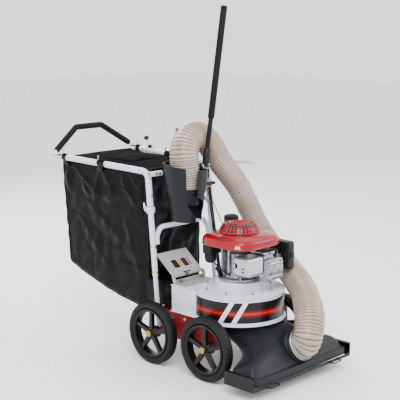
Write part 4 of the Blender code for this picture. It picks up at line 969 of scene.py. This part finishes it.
def hand_nozzle():
    """The wall runs round from one side of the front slot to the other; below the slot its edge swings
    right to open the scooped mouth."""
    facing = np.radians(243.0)
    share = np.linspace(0, 1, 90)[:, None]
    slot = np.radians(16.5)
    sweep = np.radians(62) * np.clip((share - 0.64) / 0.28, 0, 1) ** 1.3
    lobe = np.radians(70) * np.clip((share - 0.54) / 0.28, 0, 1) ** 0.7
    left = facing - slot + np.where(share > 0.60, 0.55 * sweep, 0)
    right = facing + slot + np.where(share > 0.50, lobe, 0) - TURN
    right = np.minimum(right, left + np.radians(353) - TURN)
    across = np.linspace(0, 1, 150)[None]
    angle = left + (right - left) * across
    outside = nozzle_wall(angle, share, 0.0)
    inside = nozzle_wall(angle, share, 0.004)
    points = np.concatenate([outside, inside[:, ::-1]], axis=1)
    first = (outside[:1] + inside[:1]) / 2
    last = (outside[-1:] + inside[-1:]) / 2
    first = np.concatenate([first, first[:, ::-1]], axis=1)
    last = np.concatenate([last, last[:, ::-1]], axis=1)
    points = np.concatenate([first, points, last])
    fit(surface("hand_nozzle_shell", points, (False, True)),
        stands_for=("hand_nozzle",), sharp=50)


# ---- engine -------------------------------------------------------------------------------------
SHROUD_POWER = 3.6


def shroud_cover():
    """A pan: its outline is a superellipse of power 3.6 that turns into a circle towards the middle, and
    its height follows the profile, with a pressed line above the skirt."""
    levels = np.array([(1.000, 0.697), (1.007, 0.6985), (1.007, 0.703), (0.999, 0.705), (0.996, 0.714),
                       (0.990, 0.724), (0.984, 0.7315), (0.970, 0.7375), (0.930, 0.7435),
                       (0.870, 0.7490), (0.790, 0.7540), (0.700, 0.7585), (0.590, 0.7635)])
    (scale, z), _ = walk_profile(levels, 130)
    kernel = np.ones(5) / 5
    inner = slice(2, -2)
    scale[inner] = np.convolve(scale, kernel, "valid")
    z[inner] = np.convolve(z, kernel, "valid")
    turn = np.linspace(0, TURN, 240, endpoint=False)[None]
    round_share = np.clip((0.86 - scale) / 0.27, 0, 1)[:, None]
    square = 0.1815 * squircle(turn, SHROUD_POWER) * scale[:, None]
    circle = 0.107 + (scale[:, None] - 0.59) * 0.28
    radius = square * (1 - round_share) + circle * round_share
    ridge = 0.0035 * np.exp(-((radius - 0.142) / 0.006) ** 2) * (0.5 + 0.5 * np.tanh(4 * np.sin(turn * 2)))
    height = z[:, None] + ridge

    def skin(thick):
        drop = thick * np.clip((1 - scale[:, None]) / 0.12, 0, 1)
        reach = radius - thick * (1 - 0.5 * round_share)
        return np.stack([0.004 + reach * np.cos(turn), ENGINE[1] - 0.004 + reach * np.sin(turn),
                         height - drop], -1)

    points = np.concatenate([skin(0), skin(0.003)[::-1]])
    fit(surface("fan_shroud_skin", points, (True, True)), "red_engine_plastic", stands_for=("fan_shroud",))


def starter_cover():
    """Dome of the recoil starter: radius and height by a profile; openings are pushed 3 mm inwards where
    a square wave round the dome and the bands along its profile both say so."""
    foot = 0.7644
    profile = np.array([(0.1135, foot), (0.1125, foot + 0.007), (0.107, foot + 0.019),
                        (0.1005, foot + 0.032), (0.094, foot + 0.041), (0.084, foot + 0.0475),
                        (0.060, foot + 0.051), (0.030, foot + 0.0515), (0.0, foot + 0.0515)])
    (r, z), walk = walk_profile(profile, 150)
    r, z = r[:, None], z[:, None]
    turn = np.linspace(0, TURN, 440, endpoint=False)[None]

    def window(value, low, high, soft):
        return np.clip((value - low) / soft, 0, 1) * np.clip((high - value) / soft, 0, 1)

    around = window((turn * 30 / TURN) % 1.0, 0.14, 0.86, 0.07)
    rows = window(walk, 1.15, 2.1, 0.12) + window(walk, 2.4, 3.35, 0.12) + window(walk, 3.6, 4.9, 0.12)
    coarse = window((turn * 15 / TURN) % 1.0, 0.08, 0.92, 0.05) * window(walk, 5.15, 5.95, 0.1)[:, None]
    recess = np.maximum(around * rows[:, None], coarse)
    slope = np.clip(walk / 6, 0, 1)[:, None]
    radius = r - 0.0035 * recess * (1 - 0.6 * slope)
    height = z - 0.0030 * recess * slope
    points = np.stack([radius * np.cos(turn), ENGINE[1] + radius * np.sin(turn), height + 0 * turn], -1)
    floor = np.stack([0.108 * np.cos(turn), ENGINE[1] + 0.108 * np.sin(turn), foot + 0 * turn], -1)
    points = np.concatenate([floor, points])
    # the openings are marked so that GRILLE paints them near-black: painted shade inside the starter's
    # slots
    marks = np.concatenate([np.zeros((1, 440)), recess * np.ones((1, 440))])
    dome = surface("starter_cover", points, (False, True), recess=marks)
    fit(dome, "red_engine_plastic", stands_for=("recoil_cover",), look=GRILLE)


def ribbed_cap():
    """Fuel cap whose radius ripples with 20 finger ribs below its domed top."""
    low, high = corners("fuel_cap")
    centre = (low + high) / 2
    foot, top = low[2], high[2]
    angle = np.linspace(0, TURN, 240, endpoint=False)[None]
    shape = np.array([(0.0, foot), (0.036, foot), (0.0405, foot + 0.003), (0.0405, top - 0.012),
                      (0.0400, top - 0.008), (0.036, top - 0.003), (0.030, top - 0.0005), (0.022, top),
                      (0.020, top - 0.0015), (0.0, top - 0.0015)])
    (r, z), _ = walk_profile(shape, 70)
    r, z = r[:, None], z[:, None]
    side = np.clip((r - 0.034) / 0.005, 0, 1)
    radius = r + 0.0013 * side * np.tanh(3 * np.cos(20 * angle))
    points = np.stack([centre[0] + radius * np.cos(angle), centre[1] + radius * np.sin(angle),
                       z + 0 * angle], -1)
    fit(surface("fuel_cap_ribbed", points, (False, True)), body="tank_cap",
        stands_for=("fuel_cap",))


def silencer():
    """Pressed silencer box: rounded rectangles whose size follows a profile across the machine, with
    rounded edges and two shallow beads; a round outlet and two slots are pushed into its right face."""
    low, high = corners("muffler_shield")
    middle, half = (low + high) / 2, (high - low) / 2
    bend = 0.022
    arc = np.linspace(0, np.pi / 2, 12)
    flat = np.linspace(0, 1, 90)[:-1]
    x_face = np.concatenate([np.zeros(89), bend * (1 - np.cos(arc))])
    size_face = np.concatenate([flat * (1 - bend / half[1]), 1 - bend / half[1] * (1 - np.sin(arc))])
    wall = np.linspace(bend, 2 * half[0] - bend, 60)[1:-1]
    beads = (1 - 0.020 * np.exp(-((wall - 0.040) / 0.004) ** 2)
             - 0.020 * np.exp(-((wall - 0.085) / 0.004) ** 2))
    x = np.concatenate([x_face, wall, 2 * half[0] - x_face[::-1]])[:, None]
    size = np.concatenate([size_face, beads, size_face[::-1]])[:, None]
    turn = np.linspace(0, TURN, 240, endpoint=False)[None]
    reach = squircle(turn, 7)
    y = half[1] * reach * np.cos(turn) * size
    z = half[2] * reach * np.sin(turn) * size
    front = x < 0.002
    ring = np.hypot(y - 0.036, z - 0.004)
    hole = np.clip((0.0150 - ring) / 0.002, 0, 1)
    slots = (np.clip((0.013 - np.abs(y + 0.018)) / 0.0015, 0, 1)
             * np.clip((0.0035 - np.abs(np.abs(z + 0.014) - 0.0095)) / 0.001, 0, 1))
    # the outlet and slots are marked so that SILENCER paints them near-black: painted shade inside them
    recess = np.maximum(hole, slots) * front
    lip = np.exp(-((ring - 0.0185) / 0.0022) ** 2)
    push = front * (0.016 * hole + 0.004 * slots - 0.0018 * lip)
    points = np.stack([low[0] + x + push, middle[1] + y, middle[2] + z], -1)
    fit(surface("silencer_box", points, (False, True), recess=recess), "silencer_sheet",
        stands_for=("muffler_shield",), look=SILENCER)


def engine_details():
    """Castings, brackets and leads that fill the gap between the pedestal and the shroud."""
    low, high = corners("head_cover")
    fit(pillow("rocker_cover", low + [0.006, -0.010, 0.008], high + [-0.006, -0.004, -0.008], 7, 40, 80,
               lambda p, unit: p + np.stack([0 * unit[..., 0], -0.0025 * np.cos(18 * unit[..., 2])
                                             * (unit[..., 1] < -0.6), 0 * unit[..., 0]], -1)),
        "cast_aluminium")
    for k, angle in enumerate(np.radians(np.arange(0, 360, 30))):
        out = np.array([np.cos(angle), np.sin(angle), 0])
        if 0.2 < out[0] and out[1] < -0.3:
            continue
        foot = ENGINE + out * 0.090 + [0, 0, 0.512]
        rib = pillow(f"crankcase_web_{k + 1}", foot - [0.0045, 0.0045, 0.0], foot + [0.0045, 0.0045, 0.05],
                     3, 14, 18)
        fit(rib, "cast_aluminium")
    fit(turned("oil_filler_neck", [(0, 0), (0.014, 0), (0.013, 0.045), (0.017, 0.046), (0.017, 0.056),
                                   (0.012, 0.060), (0, 0.060)], spot(-0.085, -0.200, 0.512),
               (-0.30, 0.10, 0.95), 24))
    boot = [(0, 0), (0.010, 0), (0.0115, 0.006), (0.009, 0.014), (0.009, 0.030), (0.0065, 0.040),
            (0, 0.041)]
    fit(turned("plug_boot", boot, spot(0.052, -0.470, 0.648), (0, -0.35, 0.9), 24))
    lead, _ = smooth_path([spot(*p) for p in ((0.052, -0.482, 0.682), (0.040, -0.478, 0.694),
                                              (0.010, -0.452, 0.690), (-0.020, -0.420, 0.686))], 4 * MM)
    fit(tube("plug_lead", lead, 3.4 * MM, 14))
    for k, (x, y, wide) in enumerate(((-0.092, -0.225, 0.030), (-0.112, -0.290, 0.022),
                                      (0.060, -0.150, 0.030))):
        fit(pillow(f"engine_bracket_{k + 1}", spot(x - wide / 2, y - 0.006, 0.560),
                   spot(x + wide / 2, y + 0.006, 0.690), 10, 20, 32), "cast_aluminium")
    route = [spot(*p) for p in ((-0.115, -0.165, 0.640), (-0.128, -0.190, 0.600),
                                (-0.118, -0.240, 0.560), (-0.095, -0.270, 0.535))]
    path, _ = smooth_path(route, 5 * MM)
    fit(tube("fuel_line", path, 4 * MM, 14))
    fit(turned("tank_sump", [(0, 0.0), (0.020, 0.0), (0.030, 0.010), (0.034, 0.028), (0.034, 0.050),
                             (0, 0.052)], spot(-0.100, -0.136, 0.584), (0, 0, 1), 36))
    low, high = corners("air_cleaner")
    for k in range(5):
        y = low[1] + 0.018 + k * 0.026
        fit(pillow(f"air_cleaner_rib_{k + 1}", (low[0] - 0.004, y, low[2] + 0.022),
                   (low[0] + 0.004, y + 0.010, high[2] - 0.022), 4, 14, 20))
    fit(pillow("air_cleaner_latch", (low[0] + 0.012, low[1] - 0.010, 0.612),
               (low[0] + 0.042, low[1] + 0.004, 0.640), 5, 16, 24))
    fit(pillow("control_plate", spot(-0.010, -0.452, 0.660), spot(0.112, -0.330, 0.672), 9, 16, 48),
        "bright_steel")


def shroud_labels():
    """Two blank stickers, amber over white, wrapped on the shroud's side."""
    turn = np.radians(218.0)
    out = np.array([np.cos(turn), np.sin(turn), 0.0])
    across = np.array([-out[1], out[0], 0.0])
    middle = np.array([0.004, ENGINE[1] - 0.004, 0.0])
    reach = 0.1822 * squircle(turn, SHROUD_POWER)
    for name, finish, z, half in (("sticker_amber", LABEL_AMBER, 0.7245, 0.0028),
                                  ("sticker_white", LABEL_LIGHT, 0.7143, 0.0070)):
        where = middle + out * (reach * (0.9955 if z < 0.72 else 0.9905) + 0.0006) + [0, 0, z]
        fit(plate(name, where, across, (-0.15 * out[0], -0.15 * out[1], 1), out, (0.0145, half), 0.3 * MM,
                  bow=lambda a, b: -a * a * 2.4), look=finish)


def housing_decal():
    """The band hugs the drum: radius 0.6 mm proud, angle 152 to 318 degrees."""
    angle = np.radians(np.linspace(152, 318, 200))[:, None]
    z = np.linspace(0.3115, 0.4245, 20)[None]
    sheets = []
    for radius in (HOUSING_R + 0.0006, HOUSING_R + 0.0012):
        sheets.append(np.stack([radius * np.cos(angle) + 0 * z, ENGINE[1] + radius * np.sin(angle) + 0 * z,
                                z + 0 * angle], -1))
    points = np.concatenate([sheets[1], sheets[0][:, ::-1]], 1)
    run = (angle - angle[0]) * HOUSING_R
    rise = np.concatenate([np.linspace(0, 1, 20), np.linspace(1, 0, 20), [0.0]])[None]
    uv = np.stack([run + 0 * rise, rise + 0 * run], -1)
    fit(surface("housing_decal", points, (False, True), uv), look=DECAL)


def door_label():
    """Blank two-tone plate on the discharge door, with amber bars where the real one carries notes."""
    tilt = np.radians(38.0)
    along = np.array([0, np.cos(tilt), np.sin(tilt)])
    normal = np.array([0, -np.sin(tilt), np.cos(tilt)])
    hinge = spot(-0.0885, 0.052, 0.484)

    def panel(name, finish, x, half, lift=0.3 * MM):
        where = hinge + [x, 0, 0] + 0.078 * along + (0.0071 + lift) * normal
        fit(plate(name, where, (1, 0, 0), along, normal, half, 0.25 * MM), body="door", look=finish)

    panel("door_label_field", LABEL_LIGHT, 0.004, (0.074, 0.034), 0.0)
    panel("door_label_left", LABEL_DARK, -0.044, (0.022, 0.030))
    panel("door_label_middle", LABEL_AMBER, -0.006, (0.011, 0.028))
    panel("door_label_right", LABEL_DARK, 0.030, (0.020, 0.030))
    panel("door_label_bar", RED_GRIP, 0.064, (0.007, 0.030))


# ---- fasteners and small hardware ---------------------------------------------------------------
HEX = [(0, 0), (1.35, 0), (1.35, 0.18), (1.0, 0.2), (1.0, 0.86), (0.86, 1.0), (0, 1.0)]


def bolts(name, places, directions, size, tall, finish="yellow_zinc", stud=0.0):
    """Six-sided heads on round washers at many places, all in one mesh; stud adds a round end."""
    profile = [(r * size, h * tall) for r, h in HEX]
    heads = turned(name, profile, np.array(places), np.array(directions, float), 6)
    fit(heads, finish, sharp=25)
    if stud:
        shank = [(0, 0), (size * 0.45, 0), (size * 0.45, stud * 0.92), (size * 0.36, stud), (0, stud)]
        fit(turned(name + "_studs", shank, np.array(places), np.array(directions, float), 14),
            finish, sharp=40)


def hardware():
    """Nuts on the pedestal and the engine's feet, frame and chassis bolts, pole pin and wing nuts."""
    up, right = (0, 0, 1.0), (-1.0, 0, 0)
    ring = np.radians(np.arange(8) * 45 + 20)
    bolts("pedestal_nuts", [ENGINE + [0.190 * np.cos(a), 0.190 * np.sin(a), 0.4516] for a in ring],
          [up], 0.0066, 0.007, stud=0.020)
    ring = np.radians(np.arange(4) * 90 + 45)
    bolts("engine_feet_nuts", [ENGINE + [0.104 * np.cos(a), 0.104 * np.sin(a), 0.5112] for a in ring],
          [up], 0.0060, 0.006, "bright_steel", 0.014)
    deck = [(-0.205, 0.030), (0.005, 0.030), (-0.120, -0.020), (-0.150, 0.030), (-0.060, 0.030)]
    bolts("chute_bolts", [spot(x, y, 0.4460 if y < 0.0 else 0.4495) for x, y in deck], [up], 0.0055,
          0.005)
    upright_front = [upright_at(s, z) - [0, 0.0180 if z > 0.9 else 0.0162, 0]
                     for s in (-1, 1) for z in (0.500, 0.645, 0.935)]
    bolts("upright_bolts", upright_front, [(0, -1.0, 0.09)], 0.0055, 0.006)
    right_side = [upright_at(-1, z) - [0.0162, 0, 0] for z in (0.500, 0.645)]
    bolts("upright_side_bolts", right_side, [right], 0.0052, 0.006)
    bolts("top_bar_bolts", [spot(x, 0.1705, 1.060) for x in (-0.218, -0.192, 0.205)],
          [(0, -1.0, 0)], 0.0072, 0.006)
    bolts("brace_bolts", [spot(0.2005, 0.171, 0.916), spot(0.2005, 0.160, 0.850),
                          spot(0.2005, 0.088, 0.440)], [right], 0.0062, 0.007)
    side_plate = [spot(-0.2257, y, z) for y, z in ((-0.300, 0.265), (-0.200, 0.270), (-0.060, 0.265),
                                                   (0.040, 0.250), (0.140, 0.255), (0.060, 0.200))]
    bolts("chassis_bolts", side_plate, [right], 0.0072, 0.006, "bright_steel")
    bolts("muffler_bolts", [spot(-0.1500, -0.352, 0.640), spot(-0.1500, -0.452, 0.575)], [right],
          0.0045, 0.004, "bright_steel")
    bolts("head_bolts", [spot(x, -0.4785, z) for x in (0.005, 0.100) for z in (0.530, 0.615)],
          [(0, -1.0, 0)], 0.0055, 0.005, "bright_steel")
    pivot = spot(-0.020, -0.018, 1.108)
    pin = [(0, -0.029), (0.0062, -0.029), (0.0062, -0.0255), (0.0036, -0.0255), (0.0036, 0.0255),
           (0.0062, 0.0255), (0.0062, 0.029), (0, 0.029)]
    fit(turned("pole_pivot_pin", pin, pivot, (1, 0, 0), 18), "bright_steel", sharp=40)
    bolts("clamp_bolts", [pivot + [0.004, 0.010, -0.060], pivot + [0.018, 0.012, -0.050]],
          [(0.82, -0.57, 0)], 0.0050, 0.005, "bright_steel")
    for k, x in enumerate((-0.175, -0.005)):
        hub = spot(x, 0.0290, 0.4600)
        fit(turned(f"wing_nut_{k + 1}", [(0, 0), (0.0065, 0), (0.0050, 0.007), (0, 0.007)], hub,
                   (0, -1, 0), 18), "yellow_zinc", sharp=40)
        for way in (-1, 1):
            tip = hub + [way * 0.009, -0.006, 0.004]
            fit(pillow(f"wing_nut_{k + 1}_{'inner' if way > 0 else 'outer'}", tip - [0.0065, 0.0012, 0.004],
                       tip + [0.0065, 0.0012, 0.006], 3, 12, 18), "yellow_zinc")


def collar_bands():
    """Bands round the height clamps, and plugs in the open rail ends."""
    for tag, side in (("right", -1), ("left", 1)):
        band = [(0.0240, -0.014), (0.0252, -0.012), (0.0252, 0.010), (0.0240, 0.012), (0.0236, 0.012),
                (0.0236, -0.014), (0.0240, -0.014)]
        fit(turned("collar_band_" + tag, band, upright_at(side, 0.855), (0, UPRIGHT_LEAN, 1.0), 40),
            "white_powder_coat")
        end = rail_at(side, 0.909)
        cap = [(0, -0.006), (0.0150, -0.006), (0.0150, 0.001), (0.0180, 0.0012), (0.0176, 0.004),
               (0.0080, 0.005), (0, 0.005)]
        fit(turned("rail_plug_" + tag, cap, end, (side * 0.088, 0.996, 0.037), 32))


def throttle():
    """Bent zinc rod with a flat tapered knob."""
    low, high = corners("throttle_lever")
    middle = (low + high) / 2
    stem, _ = smooth_path([(middle[0] + 0.004, low[1] + 0.004, low[2] + 0.0028),
                           (middle[0] + 0.004, low[1] + 0.010, low[2] + 0.018),
                           (middle[0], middle[1] + 0.006, high[2] - 0.022)], 3 * MM)
    fit(tube("throttle_rod", stem, 3.5 * MM, 14), "yellow_zinc", "throttle", ("throttle_lever",))
    fit(pillow("throttle_knob", (middle[0] - 0.017, high[1] - 0.016, high[2] - 0.026),
               (middle[0] + 0.017, high[1], high[2]), 3.5, 24, 36), body="throttle")


def red_lever():
    """Red-gripped lever on the left rail: a bent rod with a dipped grip."""
    low, high = spot(0.2638, 0.508, 1.0965), spot(0.280, 0.508, 1.252)
    path, _ = smooth_path([low, low + [0.002, -0.004, 0.040], high + [-0.004, 0.002, -0.050], high],
                          5 * MM)
    fit(tube("hand_lever_rod", path, 4 * MM, 16), "black_powder_coat")
    grip = path[-14:]
    share = np.linspace(0, 1, len(grip))
    radius = 0.0065 + 0.0045 * np.sin(np.pi * share) ** 0.5
    fit(tube("hand_lever_grip", grip, radius, 20), look=RED_GRIP)
    fit(pillow("hand_lever_base", low - [0.012, 0.016, 0.0115], low + [0.012, 0.016, 0.004], 5, 16, 28),
        "black_powder_coat")


# ---- stage --------------------------------------------------------------------------------------
def stage():
    """A wide pale floor, an even pale surround and three broad soft lamps."""
    floor = surface("floor", np.stack(np.meshgrid(np.linspace(-20, 20, 3), np.linspace(-20, 20, 3),
                                                  indexing="ij") + [np.zeros((3, 3))], -1))
    if floor.data.polygons[0].normal.z < 0:
        floor.data.flip_normals()
    pale, _, shader = bare("pale_floor", 0.6)
    shader.inputs["Base Color"].default_value = linear("#f4f4f5")
    floor.data.materials.append(pale)
    world = bpy.data.worlds.new("studio")
    world.use_nodes = True
    world.node_tree.nodes["Background"].inputs["Color"].default_value = (1.0, 1.0, 1.0, 1.0)
    world.node_tree.nodes["Background"].inputs["Strength"].default_value = 1.7
    bpy.context.scene.world = world
    for name, place, size, power in (("key", (-3.2, -3.0, 4.6), 2.6, 330.0),
                                     ("fill", (3.4, -3.6, 3.0), 3.0, 150.0),
                                     ("back", (1.5, 4.2, 3.8), 3.0, 240.0)):
        lamp = bpy.data.lights.new(name, "AREA")
        lamp.size, lamp.energy = size, power
        thing = bpy.data.objects.new(name, lamp)
        thing.location = place
        aim = np.array([0, 0, 0.7]) - np.array(place)
        thing.rotation_euler = (np.arccos(-aim[2] / np.linalg.norm(aim)), 0,
                                np.arctan2(aim[1], aim[0]) - np.pi / 2)
        bpy.context.scene.collection.objects.link(thing)


def camera():
    """From the front right, a little above the machine, with a long lens."""
    lens = bpy.data.cameras.new("camera")
    lens.sensor_width, lens.lens = 36.0, 91.74
    thing = bpy.data.objects.new("camera", lens)
    thing.location = (-4.081, -3.924 + ORIGIN_Y, 1.946)
    thing.rotation_euler = (np.radians(90 - 10.43), 0, np.radians(-45.81))
    bpy.context.scene.collection.objects.link(thing)
    bpy.context.scene.camera = thing


camera()
stage()
finish_cad_nodes()
ribbed_hose()
hose_ends()
bag_shell()
bag_inlet()
bag_trim()
bag_hangers()
corner_tabs()
bar_sleeve()
frame_tubes()
wheels()
intake_hood()
hand_nozzle()
shroud_cover()
starter_cover()
ribbed_cap()
silencer()
engine_details()
shroud_labels()
housing_decal()
door_label()
hardware()
collar_bands()
red_lever()
throttle()
pole()
